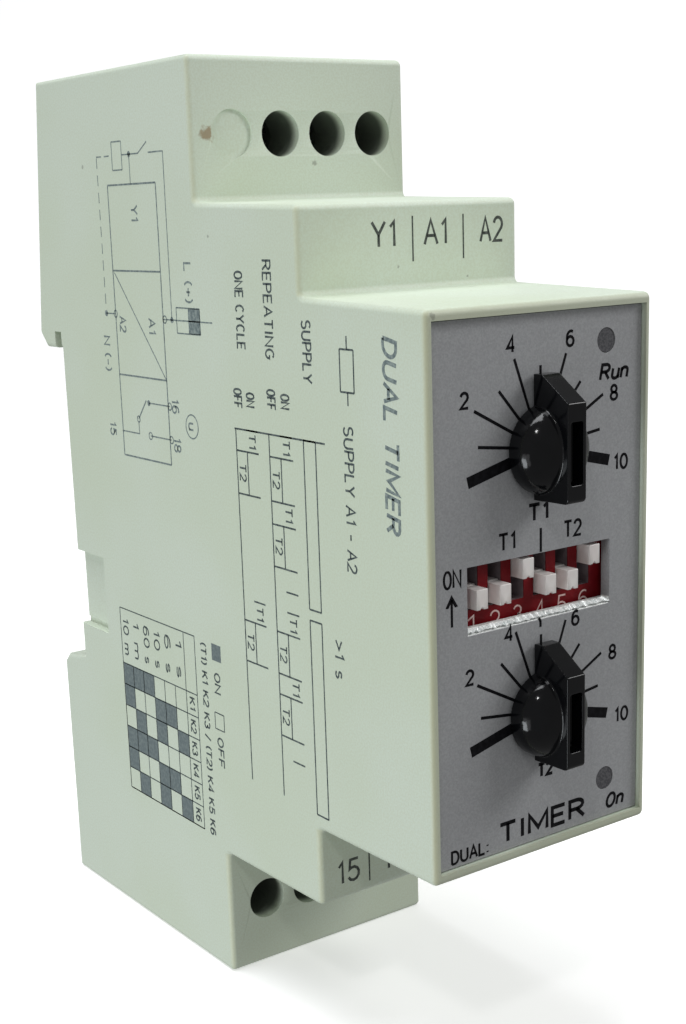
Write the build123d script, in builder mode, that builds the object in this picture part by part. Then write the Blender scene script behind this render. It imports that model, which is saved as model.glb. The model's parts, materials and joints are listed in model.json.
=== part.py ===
from build123d import *
import os

os.makedirs("parts", exist_ok=True)

# ---------------------------------------------------------------------------
# Driving dimensions, mm.  X is width, +Z is up, the front faces -Y.
# The origin is the centre of the face that rests on the 35 mm rail.
# ---------------------------------------------------------------------------
WIDTH = 24.6
HEIGHT = 90.0
FRONT_Y = -62.9            # face of the bezel
SHELF_Y = -46.1            # face of the two label shelves
TERMINAL_Y = -29.6         # face of the two terminal blocks
BACK_Y = 5.2               # hook and foot, behind the rail seat
BACK_TOP_Y = 1.9           # the back leans forward towards the top
WALL = 1.2
SIDE_WALL = 1.3
CLEAR = 0.1                # gap between fixed parts that fit together
SINK = 0.3                 # an added feature starts this far inside the wall it grows from

HALF_W = WIDTH / 2
HALF_H = HEIGHT / 2
INNER_LEFT = -HALF_W + SIDE_WALL

# heights of the steps, inner corner then outer corner of each draughted ledge
FACE_TOP = (23.9, 23.4)
FACE_BOTTOM = (-24.0, -23.8)
SHELF_TOP = (32.0, 31.5)
SHELF_BOTTOM = (-31.9, -31.6)

# 35 mm rail
RAIL_TOP = 17.2            # underside of the fixed hook
RAIL_FOOT = -17.5          # top of the foot, under the rail
LIP_SLOT = (1.4, 0.3, 1.8)    # rail's upper lip: width in Y, Z below and above the hook's underside
SEAT_GROOVE = (0.3, 0.6)   # depth and height of the groove between the seat and the lower pad
HOOK_CHAMFER = 1.5
GRIP = (-13.6, -5.1, 6.5, 1.0)   # recess in each side: bottom, top, length, depth

# terminals: one screw every pitch, three live and one blank in each block
PITCH = 5.39
TERMINAL_X0 = -7.8
TERMINAL_Z = 38.05
BORE_D = 4.2
GUIDE_DEPTH = 5.0          # length of each screwdriver bore
BLANK_D = 4.4
BLANK_DEPTH = 0.25
WIRE_ENTRY = 3.8
WIRE_ENTRY_ROUND = 0.5
PARTITION = 0.8
TERMINALS = [
    ("y1", 1, 1), ("a1", 2, 1), ("a2", 3, 1),
    ("15", 0, -1), ("16", 1, -1), ("18", 2, -1),
]
BLANKS = [(0, 1), (3, -1)]

# terminal clamp, along Y
HEAD_Y = -24.3
HEAD_LENGTH = 2.0
HEAD_D = 3.8
SHANK_D = 2.9
BAR_Y = -18.9
BAR_T = 1.0
BAR_WIDTH = 2.7
CAGE_WIDTH = 4.3
CAGE_HEIGHT = 4.6
CAGE_WALL = 1.0
CAGE_SIDE = 0.6
CAGE_GAP = 0.15            # cage front wall to the bar, with the clamp open

# front plate
PLATE_RECESS = 0.5
PLATE_T = 1.0
PLATE_HALF_W = 11.6
PLATE_TOP = 22.4
PLATE_BOTTOM = -22.8
PLATE_Y = FRONT_Y + PLATE_RECESS
LEDGE_T = 1.0
DIAL_Z = (11.4, -11.2)
SHAFT_D = 3.0
SHAFT_HOLE_D = 4.0
LED_POS = ((7.45, 19.65), (7.65, -19.15))
LED_D = 2.0
LED_FIT = 0.05             # radial
WINDOW = (-8.05, 8.05, -2.6, 2.65)

# boards
BOARD_T = 1.6
FRONT_BOARD_Y = -56.4      # face that carries the dials and the switch block
TERMINAL_BOARD_Y = -12.3
MAIN_BOARD_X = -9.6
COMPONENT_X = MAIN_BOARD_X + BOARD_T

# setting knobs
KNOB_LIFT = 0.25
KNOB_R = 3.75
DOME_HEIGHT = 3.5
BLADE_WIDTH = 2.0
BLADE_HEIGHT = 4.25
BLADE_TAIL = -4.05
BLADE_FLAT = 4.05
BLADE_TIP = 6.2
TIP_HEIGHT = 1.2
KNOB_SLOT = (1.4, 5.1, 1.3)

# switch block
SWITCH_PITCH = 2.54
SWITCH_COUNT = 6
SWITCH_ON = (3, 6)
SWITCH_Z = 0.6
SWITCH_TRAVEL = 1.8
SWITCH_FACE_Y = -60.9
SWITCH_SIZE = (17.8, 9.9)
NIB = (1.2, 1.7)
NIB_PROUD = 1.4
SLOT_WIDTH = 1.44
SLOT_DEPTH = 2.4

# rail clip
CLIP_HALF_W = 8.0
CLIP_GAP = 0.15
FLANGE_HALF_W = 9.25
FLANGE_Z = (-40.0, -26.2)
FLANGE_Y = (1.45, 2.85)
CLIP_TOP = -16.4
TOOTH_T = 0.6              # thickness of the tooth at its tip
CLIP_SLOPE_Z = -19.4
CLIP_BACK_Y = 5.0
CLIP_BOTTOM = -44.8
SPRING_POCKET = (3.0, -38.0, -28.0, 3.3)   # half width, bottom, top, depth in Y
PEG = (2.6, -37.6, -36.0, 2.9)


def side_plane(x):
    """Plane across X at x, drawn in (Y, Z); extrusion runs towards +X."""
    return Plane(origin=(x, 0, 0), x_dir=(0, 1, 0), z_dir=(1, 0, 0))


def front_plane(y):
    """Plane across Y at y, drawn in (X, Z); a negative extrusion runs into the housing."""
    return Plane(origin=(0, y, 0), x_dir=(1, 0, 0), z_dir=(0, -1, 0))


def terminal_x(position):
    return TERMINAL_X0 + PITCH * position


def rectangle(low_u, high_u, low_v, high_v, mode=Mode.ADD):
    """Rectangle given by its limits, inside the current sketch."""
    with Locations(((low_u + high_u) / 2, (low_v + high_v) / 2)):
        Rectangle(high_u - low_u, high_v - low_v, mode=mode)


def save(builder, label):
    builder.part.label = label
    export_step(builder.part, f"parts/{label}.step")


# ---------------------------------------------------------------------------
# Housing
# ---------------------------------------------------------------------------
OUTLINE = [
    (FRONT_Y, FACE_TOP[1]), (SHELF_Y, FACE_TOP[0]),
    (SHELF_Y, SHELF_TOP[1]), (TERMINAL_Y, SHELF_TOP[0]),
    (TERMINAL_Y, HALF_H), (BACK_TOP_Y, HALF_H),
    (BACK_Y, RAIL_TOP + HOOK_CHAMFER), (BACK_Y - HOOK_CHAMFER, RAIL_TOP),
    (0, RAIL_TOP), (0, RAIL_FOOT),
    (BACK_Y - 1.0, RAIL_FOOT - 0.7), (BACK_Y, RAIL_FOOT - 1.7), (BACK_Y, -HALF_H),
    (TERMINAL_Y, -HALF_H), (TERMINAL_Y, SHELF_BOTTOM[0]),
    (SHELF_Y, SHELF_BOTTOM[1]), (SHELF_Y, FACE_BOTTOM[0]),
    (FRONT_Y, FACE_BOTTOM[1]),
]
LEDGE_BACK_Y = PLATE_Y + PLATE_T + LEDGE_T
CAVITY = [
    (LEDGE_BACK_Y, FACE_TOP[1] - WALL), (SHELF_Y + WALL, FACE_TOP[1] - WALL),
    (SHELF_Y + WALL, SHELF_TOP[1] - WALL), (TERMINAL_Y + GUIDE_DEPTH, SHELF_TOP[1] - WALL),
    (TERMINAL_Y + GUIDE_DEPTH, HALF_H - WALL), (-WALL, HALF_H - WALL),
    (-WALL, WALL - HALF_H), (TERMINAL_Y + GUIDE_DEPTH, WALL - HALF_H),
    (TERMINAL_Y + GUIDE_DEPTH, SHELF_BOTTOM[1] + WALL), (SHELF_Y + WALL, SHELF_BOTTOM[1] + WALL),
    (SHELF_Y + WALL, FACE_BOTTOM[1] + WALL), (LEDGE_BACK_Y, FACE_BOTTOM[1] + WALL),
]
POSTS = [(-6.0, 36.0), (-6.0, 0.0), (-6.0, -36.0)]       # Y, Z; each takes a peg of the side cover
POST_D = 4.0
PEG_HOLE_D = 2.2
PEG_HOLE_DEPTH = 4.0
PEG_FIT = 0.05             # radial
PEG_LENGTH = 3.5
COVER_X = (HALF_W - 1.3, HALF_W - 0.1)
BOSSES = [(-41.0, 26.0), (-41.0, -26.0), (-50.0, 0.0), (-15.0, 26.0), (-15.0, -26.0)]
BOSS_D = 3.0
RIB = 1.2
FRONT_RIB_REACH = 1.5
REAR_RIB_REACH = 6.0
PARTITION_Z = 33.0         # inner end of the walls between the terminals
PARTITION_BACK_Y = -13.0
LEDGE_WIDTH = 1.0          # how far the front plate overlaps its ledge
CORNER_ROUND = 0.5
STEP_ROUND = 0.6

with BuildPart() as housing_body:
    with BuildSketch(side_plane(-HALF_W)):
        Polygon(*OUTLINE, align=None)
    extrude(amount=WIDTH)
    crosswise = housing_body.edges().filter_by(Axis.X)
    fillet(crosswise.filter_by(lambda e: e.center().Y < TERMINAL_Y + 0.1), STEP_ROUND)
    sides = housing_body.faces().filter_by(Axis.X)
    fillet(sides.edges(), CORNER_ROUND)

    # slot for the rail's upper lip, and the groove above the pad for its lower lip
    with BuildSketch(side_plane(-HALF_W)):
        rectangle(-CLEAR, LIP_SLOT[0], RAIL_TOP - LIP_SLOT[1], RAIL_TOP + LIP_SLOT[2])
        rectangle(-SEAT_GROOVE[0], CLEAR, GRIP[0], GRIP[0] + SEAT_GROOVE[1])
    extrude(amount=WIDTH, mode=Mode.SUBTRACT)

    # grip recess low on each side
    for start in (-HALF_W, HALF_W - GRIP[3]):
        with BuildSketch(side_plane(start)):
            rectangle(-GRIP[2], CLEAR, GRIP[0], GRIP[1])
        extrude(amount=GRIP[3], mode=Mode.SUBTRACT)

    # inside, open to the right for the side cover
    with BuildSketch(side_plane(INNER_LEFT)):
        Polygon(*CAVITY, align=None)
    extrude(amount=WIDTH, mode=Mode.SUBTRACT)

    # pocket for the front plate, and the opening behind its ledge
    with BuildSketch(front_plane(FRONT_Y)):
        rectangle(-PLATE_HALF_W - CLEAR, PLATE_HALF_W + CLEAR, PLATE_BOTTOM - CLEAR, PLATE_TOP + CLEAR)
    extrude(amount=-(PLATE_RECESS + PLATE_T), mode=Mode.SUBTRACT)
    with BuildSketch(front_plane(FRONT_Y)):
        rectangle(-PLATE_HALF_W + LEDGE_WIDTH, PLATE_HALF_W - LEDGE_WIDTH,
                  PLATE_BOTTOM + LEDGE_WIDTH, PLATE_TOP - LEDGE_WIDTH)
    extrude(amount=-(LEDGE_BACK_Y - FRONT_Y + SINK), mode=Mode.SUBTRACT)

    # partitions between the terminals, hanging from the end walls
    partition_y = TERMINAL_Y + GUIDE_DEPTH - SINK
    for side in (1, -1):
        with BuildSketch(front_plane(partition_y)):
            for gap in range(3):
                middle = terminal_x(gap) + PITCH / 2
                near, far = sorted((side * PARTITION_Z, side * (HALF_H - WALL + SINK)))
                rectangle(middle - PARTITION / 2, middle + PARTITION / 2, near, far)
        extrude(amount=partition_y - PARTITION_BACK_Y)

    # screwdriver bores, wire entries and the blanked positions
    for _, position, side in TERMINALS:
        with BuildSketch(front_plane(TERMINAL_Y)):
            with Locations((terminal_x(position), side * TERMINAL_Z)):
                Circle(BORE_D / 2)
        extrude(amount=-GUIDE_DEPTH - SINK, mode=Mode.SUBTRACT)
        wire_y = BAR_Y + BAR_T + WIRE_ENTRY / 2
        with BuildSketch(Plane.XY.offset(side * HALF_H)):
            with Locations((terminal_x(position), wire_y)):
                RectangleRounded(WIRE_ENTRY, WIRE_ENTRY, WIRE_ENTRY_ROUND)
        extrude(amount=-side * 2 * WALL, mode=Mode.SUBTRACT)
    for position, side in BLANKS:
        with BuildSketch(front_plane(TERMINAL_Y)):
            with Locations((terminal_x(position), side * TERMINAL_Z)):
                Circle(BLANK_D / 2)
        extrude(amount=-BLANK_DEPTH, mode=Mode.SUBTRACT)

    # posts for the side cover and bosses for the main board
    with BuildSketch(side_plane(INNER_LEFT - SINK)):
        with Locations(*POSTS):
            Circle(POST_D / 2)
    extrude(amount=COVER_X[0] - INNER_LEFT + SINK)
    with BuildSketch(side_plane(COVER_X[0] - PEG_HOLE_DEPTH)):
        with Locations(*POSTS):
            Circle(PEG_HOLE_D / 2)
    extrude(amount=PEG_HOLE_DEPTH, mode=Mode.SUBTRACT)
    with BuildSketch(side_plane(INNER_LEFT - SINK)):
        with Locations(*BOSSES):
            Circle(BOSS_D / 2)
    extrude(amount=MAIN_BOARD_X - INNER_LEFT + SINK)

    # ribs behind the front board and the terminal board
    rib_rows = [
        (FRONT_BOARD_Y + BOARD_T, FACE_TOP[1] - WALL, FACE_BOTTOM[1] + WALL, FRONT_RIB_REACH),
        (TERMINAL_BOARD_Y + BOARD_T, HALF_H - WALL, WALL - HALF_H, REAR_RIB_REACH),
    ]
    for rib_y, top, bottom, reach in rib_rows:
        with BuildSketch(side_plane(INNER_LEFT - SINK)):
            rectangle(rib_y, rib_y + RIB, top - reach, top + SINK)
            rectangle(rib_y, rib_y + RIB, bottom - SINK, bottom + reach)
        extrude(amount=COVER_X[0] - INNER_LEFT + SINK - CLEAR)

    # T-shaped channel of the rail clip, open at the bottom and the back
    channel = CLIP_HALF_W + CLIP_GAP
    with BuildSketch(Plane.XY.offset(-HALF_H)):
        rectangle(-channel, channel, FLANGE_Y[0] - CLIP_GAP, BACK_Y + CLEAR)
    extrude(amount=HALF_H + RAIL_FOOT + CLEAR, mode=Mode.SUBTRACT)
    groove = FLANGE_HALF_W + CLIP_GAP
    with BuildSketch(Plane.XY.offset(-HALF_H)):
        rectangle(-groove, groove, FLANGE_Y[0] - CLIP_GAP, FLANGE_Y[1] + CLIP_GAP)
    extrude(amount=HALF_H + FLANGE_Z[1] + CLIP_GAP, mode=Mode.SUBTRACT)

    # fixed peg that the clip's spring stands on
    with BuildSketch(front_plane(PEG[3])):
        rectangle(-PEG[0], PEG[0], PEG[1], PEG[2])
    extrude(amount=PEG[3] - FLANGE_Y[0] + CLIP_GAP + SINK)
save(housing_body, "housing_body")

with BuildPart() as side_cover:
    with BuildSketch(side_plane(COVER_X[0])):
        Polygon(*CAVITY, align=None)
        offset(amount=-CLEAR, kind=Kind.INTERSECTION, mode=Mode.REPLACE)
    extrude(amount=COVER_X[1] - COVER_X[0])
    with BuildSketch(side_plane(COVER_X[0] - PEG_LENGTH)):
        with Locations(*POSTS):
            Circle(PEG_HOLE_D / 2 - PEG_FIT)
    extrude(amount=PEG_LENGTH + SINK)
save(side_cover, "side_cover")

# ---------------------------------------------------------------------------
# Front plate with its dial holes, switch window and lamp holes
# ---------------------------------------------------------------------------
WINDOW_BEVEL = 0.5
with BuildPart() as front_plate:
    with BuildSketch(front_plane(PLATE_Y)):
        rectangle(-PLATE_HALF_W, PLATE_HALF_W, PLATE_BOTTOM, PLATE_TOP)
        for dial_z in DIAL_Z:
            with Locations((0, dial_z)):
                Circle(SHAFT_HOLE_D / 2, mode=Mode.SUBTRACT)
        for led_x, led_z in LED_POS:
            with Locations((led_x, led_z)):
                Circle(LED_D / 2 + LED_FIT, mode=Mode.SUBTRACT)
        rectangle(*WINDOW, mode=Mode.SUBTRACT)
    extrude(amount=-PLATE_T)
    lip = front_plate.edges().filter_by(Axis.X).group_by(Axis.Y)[0].filter_by(
        lambda e: abs(e.center().Z - WINDOW[2]) < 0.01)
    chamfer(lip, WINDOW_BEVEL)
save(front_plate, "front_plate")

# ---------------------------------------------------------------------------
# Boards
# ---------------------------------------------------------------------------
BOARD_HALF_W = 10.6
FRONT_BOARD_Z = (-22.0, 21.6)
with BuildPart() as front_board:
    with BuildSketch(front_plane(FRONT_BOARD_Y)):
        rectangle(-BOARD_HALF_W, BOARD_HALF_W, *FRONT_BOARD_Z)
    extrude(amount=-BOARD_T)
save(front_board, "front_board")

BOARD_GAP = 0.05           # between the edge of one board and the face of the next
MAIN_BOARD_Y = (FRONT_BOARD_Y + BOARD_T + BOARD_GAP, TERMINAL_BOARD_Y - BOARD_GAP)
MAIN_BOARD_STEP_Y = SHELF_Y + WALL + 0.4
MAIN_BOARD_HALF_H = (20.0, 29.5)      # ahead of the shelf walls and behind them
with BuildPart() as main_board:
    with BuildSketch(side_plane(MAIN_BOARD_X)):
        rectangle(*MAIN_BOARD_Y, -MAIN_BOARD_HALF_H[0], MAIN_BOARD_HALF_H[0])
        rectangle(MAIN_BOARD_STEP_Y, MAIN_BOARD_Y[1], -MAIN_BOARD_HALF_H[1], MAIN_BOARD_HALF_H[1])
    extrude(amount=BOARD_T)
save(main_board, "main_board")

TERMINAL_BOARD_HALF_H = 39.0
with BuildPart() as terminal_board:
    with BuildSketch(front_plane(TERMINAL_BOARD_Y)):
        rectangle(-BOARD_HALF_W, BOARD_HALF_W, -TERMINAL_BOARD_HALF_H, TERMINAL_BOARD_HALF_H)
    extrude(amount=-BOARD_T)
save(terminal_board, "terminal_board")

# ---------------------------------------------------------------------------
# Setting dials: body on the front board, shaft and pointer knob that turn
# ---------------------------------------------------------------------------
POT_SIZE = 9.5
POT_ROUND = 0.8
POT_FACE_Y = -60.6
SHAFT_END_Y = -57.2
SHAFT_FIT = 0.08           # radial, in the dial body
SHAFT_IN_KNOB = 2.0
SHAFT_TIP_Y = PLATE_Y - KNOB_LIFT - SHAFT_IN_KNOB
SHAFT_CHAMFER = 0.3
SOCKET_FIT = 0.02          # radial, in the knob
SOCKET_DEPTH = SHAFT_IN_KNOB + 0.05
RIM_HEIGHT = 0.6
TAIL_DRAUGHT = 0.1
TAIL_ROUND = 0.4
KNOB_SLOT_ROUND = 0.2

for number, dial_z in enumerate(DIAL_Z, start=1):
    with BuildPart() as dial_body:
        with BuildSketch(front_plane(POT_FACE_Y)):
            with Locations((0, dial_z)):
                RectangleRounded(POT_SIZE, POT_SIZE, POT_ROUND)
        extrude(amount=-(FRONT_BOARD_Y - POT_FACE_Y))
        with BuildSketch(front_plane(POT_FACE_Y)):
            with Locations((0, dial_z)):
                Circle(SHAFT_D / 2 + SHAFT_FIT)
        extrude(amount=-(SHAFT_END_Y - POT_FACE_Y + 2 * SHAFT_FIT), mode=Mode.SUBTRACT)
    save(dial_body, f"dial_body_t{number}")

    with BuildPart() as dial_shaft:
        with BuildSketch(front_plane(SHAFT_END_Y)):
            with Locations((0, dial_z)):
                Circle(SHAFT_D / 2)
        extrude(amount=SHAFT_END_Y - SHAFT_TIP_Y)
        chamfer(dial_shaft.edges().sort_by(Axis.Y)[0], SHAFT_CHAMFER)
    save(dial_shaft, f"dial_shaft_t{number}")

    knob_y = PLATE_Y - KNOB_LIFT
    knob_top_y = PLATE_Y - BLADE_HEIGHT
    with BuildPart() as knob:
        # round dome, turned about the shaft
        with BuildSketch(Plane(origin=(0, 0, dial_z), x_dir=(1, 0, 0), z_dir=(0, 0, 1))):
            with BuildLine():
                rim_y = knob_y - RIM_HEIGHT
                dome_y = knob_y - DOME_HEIGHT
                Polyline((0, dome_y), (0, knob_y), (KNOB_R, knob_y), (KNOB_R, rim_y))
                EllipticalCenterArc((0, rim_y), KNOB_R, rim_y - dome_y, start_angle=270, arc_size=90)
            make_face()
        revolve(axis=Axis((0, 0, dial_z), (0, 1, 0)))
        # blade with a sloped pointer end
        with BuildSketch(side_plane(-BLADE_WIDTH / 2)):
            Polygon(
                (knob_y, dial_z + BLADE_TAIL - TAIL_DRAUGHT), (knob_top_y, dial_z + BLADE_TAIL),
                (knob_top_y, dial_z + BLADE_FLAT), (PLATE_Y - TIP_HEIGHT, dial_z + BLADE_TIP),
                (knob_y, dial_z + BLADE_TIP), align=None,
            )
        extrude(amount=BLADE_WIDTH)
        tail = knob.edges().filter_by(Axis.X).filter_by(
            lambda e: abs(e.center().Y - knob_top_y) < 0.01 and e.center().Z < dial_z)
        fillet(tail, TAIL_ROUND)
        # slot moulded into the outer face
        with BuildSketch(front_plane(knob_top_y)):
            with Locations((0, dial_z)):
                RectangleRounded(KNOB_SLOT[0], KNOB_SLOT[1], KNOB_SLOT_ROUND)
        extrude(amount=-KNOB_SLOT[2], mode=Mode.SUBTRACT)
        # socket for the shaft
        with BuildSketch(front_plane(knob_y)):
            with Locations((0, dial_z)):
                Circle(SHAFT_D / 2 + SOCKET_FIT)
        extrude(amount=SOCKET_DEPTH, mode=Mode.SUBTRACT)
    save(knob, f"knob_t{number}")

# ---------------------------------------------------------------------------
# Six-way slide switch block
# ---------------------------------------------------------------------------
SLIDER_FOOT = (1.3, 1.9)
SLOT_END = 0.15            # gap between a slider and the end of its slot
FOOT_Y = (SWITCH_FACE_Y + 0.3, SWITCH_FACE_Y + SLOT_DEPTH - 0.1)
NOTCH = 0.22


def switch_x(number):
    return SWITCH_PITCH * (number - (SWITCH_COUNT + 1) / 2)


with BuildPart() as switch_body:
    with BuildSketch(front_plane(SWITCH_FACE_Y)):
        with Locations((0, SWITCH_Z)):
            Rectangle(*SWITCH_SIZE)
    extrude(amount=-(FRONT_BOARD_Y - SWITCH_FACE_Y))
    with BuildSketch(front_plane(SWITCH_FACE_Y)):
        for number in range(1, SWITCH_COUNT + 1):
            with Locations((switch_x(number), SWITCH_Z)):
                Rectangle(SLOT_WIDTH, SLIDER_FOOT[1] + SWITCH_TRAVEL + 2 * SLOT_END)
    extrude(amount=-SLOT_DEPTH, mode=Mode.SUBTRACT)
save(switch_body, "switch_body")

for number in range(1, SWITCH_COUNT + 1):
    nib_z = SWITCH_Z + (SWITCH_TRAVEL if number in SWITCH_ON else -SWITCH_TRAVEL) / 2
    nib_x = switch_x(number)
    with BuildPart() as slider:
        with BuildSketch(front_plane(FOOT_Y[1])):
            with Locations((nib_x, nib_z)):
                Rectangle(*SLIDER_FOOT)
        extrude(amount=FOOT_Y[1] - FOOT_Y[0])
        with BuildSketch(front_plane(FOOT_Y[0])):
            with Locations((nib_x, nib_z)):
                Rectangle(*NIB)
        extrude(amount=FOOT_Y[0] - SWITCH_FACE_Y + NIB_PROUD)
        # V groove along the underside of the nib
        with BuildSketch(front_plane(FOOT_Y[0])):
            bottom = nib_z - NIB[1] / 2
            Polygon((nib_x - NOTCH, bottom), (nib_x + NOTCH, bottom), (nib_x, bottom + NOTCH), align=None)
        extrude(amount=FOOT_Y[0] - SWITCH_FACE_Y + NIB_PROUD, mode=Mode.SUBTRACT)
    save(slider, f"switch_slider_{number}")

# ---------------------------------------------------------------------------
# Lamps behind the front plate
# ---------------------------------------------------------------------------
LED_BODY_D = 3.0
LED_NOSE_Y = PLATE_Y + LED_FIT
LED_SHOULDER_Y = PLATE_Y + PLATE_T + 0.3
for label, (led_x, led_z) in zip(("lamp_run", "lamp_on"), LED_POS):
    with BuildPart() as lamp:
        with BuildSketch(front_plane(LED_SHOULDER_Y)):
            with Locations((led_x, led_z)):
                Circle(LED_BODY_D / 2)
        extrude(amount=-(FRONT_BOARD_Y - LED_SHOULDER_Y))
        with BuildSketch(front_plane(LED_SHOULDER_Y)):
            with Locations((led_x, led_z)):
                Circle(LED_D / 2)
        extrude(amount=LED_SHOULDER_Y - LED_NOSE_Y)
    save(lamp, label)

# ---------------------------------------------------------------------------
# Terminals: screw, rising cage and current bar for each live position
# ---------------------------------------------------------------------------
BAR_TOP = 2.5
BAR_FOOT_Z = 33.4
SCREW_SLOT = (0.7, 0.8)    # width and depth
CROSS_SHARE = 0.7          # length of the short arm of the cross slot, as a share of the head
SCREW_END_Y = BAR_Y - 0.06
THREAD_FIT = 0.06          # radial
CAGE_FRONT_Y = BAR_Y - CAGE_GAP - CAGE_WALL
CAGE_BACK_Y = BAR_Y + BAR_T + WIRE_ENTRY

for name, position, side in TERMINALS:
    axis_x = terminal_x(position)
    axis_z = side * TERMINAL_Z
    with BuildPart() as screw:
        with BuildSketch(front_plane(HEAD_Y + HEAD_LENGTH)):
            with Locations((axis_x, axis_z)):
                Circle(HEAD_D / 2)
        extrude(amount=HEAD_LENGTH)
        with BuildSketch(front_plane(SCREW_END_Y)):
            with Locations((axis_x, axis_z)):
                Circle(SHANK_D / 2)
        extrude(amount=SCREW_END_Y - HEAD_Y - HEAD_LENGTH)
        with BuildSketch(front_plane(HEAD_Y)):
            with Locations((axis_x, axis_z)):
                Rectangle(HEAD_D, SCREW_SLOT[0])
                Rectangle(SCREW_SLOT[0], HEAD_D * CROSS_SHARE)
        extrude(amount=-SCREW_SLOT[1], mode=Mode.SUBTRACT)
    save(screw, f"terminal_screw_{name}")

    with BuildPart() as cage:
        with BuildSketch(Plane.XY.offset(axis_z - CAGE_HEIGHT / 2)):
            rectangle(axis_x - CAGE_WIDTH / 2, axis_x + CAGE_WIDTH / 2,
                      CAGE_FRONT_Y, CAGE_BACK_Y + CAGE_WALL)
            rectangle(axis_x - CAGE_WIDTH / 2 + CAGE_SIDE, axis_x + CAGE_WIDTH / 2 - CAGE_SIDE,
                      CAGE_FRONT_Y + CAGE_WALL, CAGE_BACK_Y, mode=Mode.SUBTRACT)
        extrude(amount=CAGE_HEIGHT)
        with BuildSketch(front_plane(CAGE_FRONT_Y)):
            with Locations((axis_x, axis_z)):
                Circle(SHANK_D / 2 + THREAD_FIT)
        extrude(amount=-CAGE_WALL, mode=Mode.SUBTRACT)
    save(cage, f"terminal_cage_{name}")

    with BuildPart() as bar:
        with BuildSketch(side_plane(axis_x - BAR_WIDTH / 2)):
            bar_low, bar_high = sorted((side * BAR_FOOT_Z, side * (TERMINAL_Z + BAR_TOP)))
            tail_low, tail_high = sorted((side * BAR_FOOT_Z, side * (BAR_FOOT_Z + BAR_T)))
            rectangle(BAR_Y, BAR_Y + BAR_T, bar_low, bar_high)
            rectangle(BAR_Y, TERMINAL_BOARD_Y, tail_low, tail_high)
        extrude(amount=BAR_WIDTH)
    save(bar, f"terminal_bar_{name}")

# ---------------------------------------------------------------------------
# Relay on the main board: base, cover, coil on its yoke, armature and contacts
# ---------------------------------------------------------------------------
RELAY_Y = (-36.0, -16.0)
RELAY_Z = (-27.0, -12.0)
RELAY_BASE_T = 1.6
RELAY_TOP_X = 7.6
RELAY_SKIN = 0.7
RELAY_FLOOR_X = COMPONENT_X + RELAY_BASE_T
COIL_Y = -30.0
COIL_Z = sum(RELAY_Z) / 2
COIL_D = 8.0
CORE_D = 3.0
YOKE_T = 1.2
YOKE_HALF_W = 4.0
YOKE_Y = -25.0
YOKE_TOP_X = 3.2
CORE_TOP_X = 2.9
COVER_ROUND = 0.8
ARMATURE_GAP = 0.08
ARMATURE_T = 0.8

with BuildPart() as relay_base:
    with BuildSketch(side_plane(COMPONENT_X)):
        rectangle(*RELAY_Y, *RELAY_Z)
    extrude(amount=RELAY_BASE_T)
save(relay_base, "relay_base")

with BuildPart() as relay_cover:
    with BuildSketch(side_plane(RELAY_FLOOR_X)):
        rectangle(*RELAY_Y, *RELAY_Z)
    extrude(amount=RELAY_TOP_X - RELAY_FLOOR_X)
    fillet(relay_cover.edges().filter_by(Axis.X), COVER_ROUND)
    with BuildSketch(side_plane(RELAY_FLOOR_X)):
        rectangle(RELAY_Y[0] + RELAY_SKIN, RELAY_Y[1] - RELAY_SKIN,
                  RELAY_Z[0] + RELAY_SKIN, RELAY_Z[1] - RELAY_SKIN)
    extrude(amount=RELAY_TOP_X - RELAY_FLOOR_X - RELAY_SKIN, mode=Mode.SUBTRACT)
save(relay_cover, "relay_cover")

with BuildPart() as relay_yoke:
    with BuildSketch(front_plane(YOKE_Y)):
        rectangle(RELAY_FLOOR_X, YOKE_TOP_X, COIL_Z - YOKE_HALF_W, COIL_Z + YOKE_HALF_W)
    extrude(amount=-YOKE_T)
    with BuildSketch(side_plane(RELAY_FLOOR_X)):
        rectangle(COIL_Y - COIL_D / 2, YOKE_Y + SINK, COIL_Z - YOKE_HALF_W, COIL_Z + YOKE_HALF_W)
    extrude(amount=YOKE_T)
    with BuildSketch(side_plane(RELAY_FLOOR_X)):
        with Locations((COIL_Y, COIL_Z)):
            Circle(CORE_D / 2)
    extrude(amount=CORE_TOP_X - RELAY_FLOOR_X)
save(relay_yoke, "relay_yoke")

COIL_X = (RELAY_FLOOR_X + YOKE_T + CLEAR, CORE_TOP_X - 0.5)
COIL_FLANGE = 0.7
WINDING_DEPTH = 0.6        # the flanges stand this far above the winding
with BuildPart() as relay_coil:
    with BuildSketch(side_plane(COIL_X[0])):
        with Locations((COIL_Y, COIL_Z)):
            Circle(COIL_D / 2 - WINDING_DEPTH)
    extrude(amount=COIL_X[1] - COIL_X[0])
    for flange_x in (COIL_X[0], COIL_X[1] - COIL_FLANGE):
        with BuildSketch(side_plane(flange_x)):
            with Locations((COIL_Y, COIL_Z)):
                Circle(COIL_D / 2)
        extrude(amount=COIL_FLANGE)
    with BuildSketch(side_plane(COIL_X[0])):
        with Locations((COIL_Y, COIL_Z)):
            Circle(CORE_D / 2 + CLEAR)
    extrude(amount=COIL_X[1] - COIL_X[0], mode=Mode.SUBTRACT)
save(relay_coil, "relay_coil")

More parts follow.
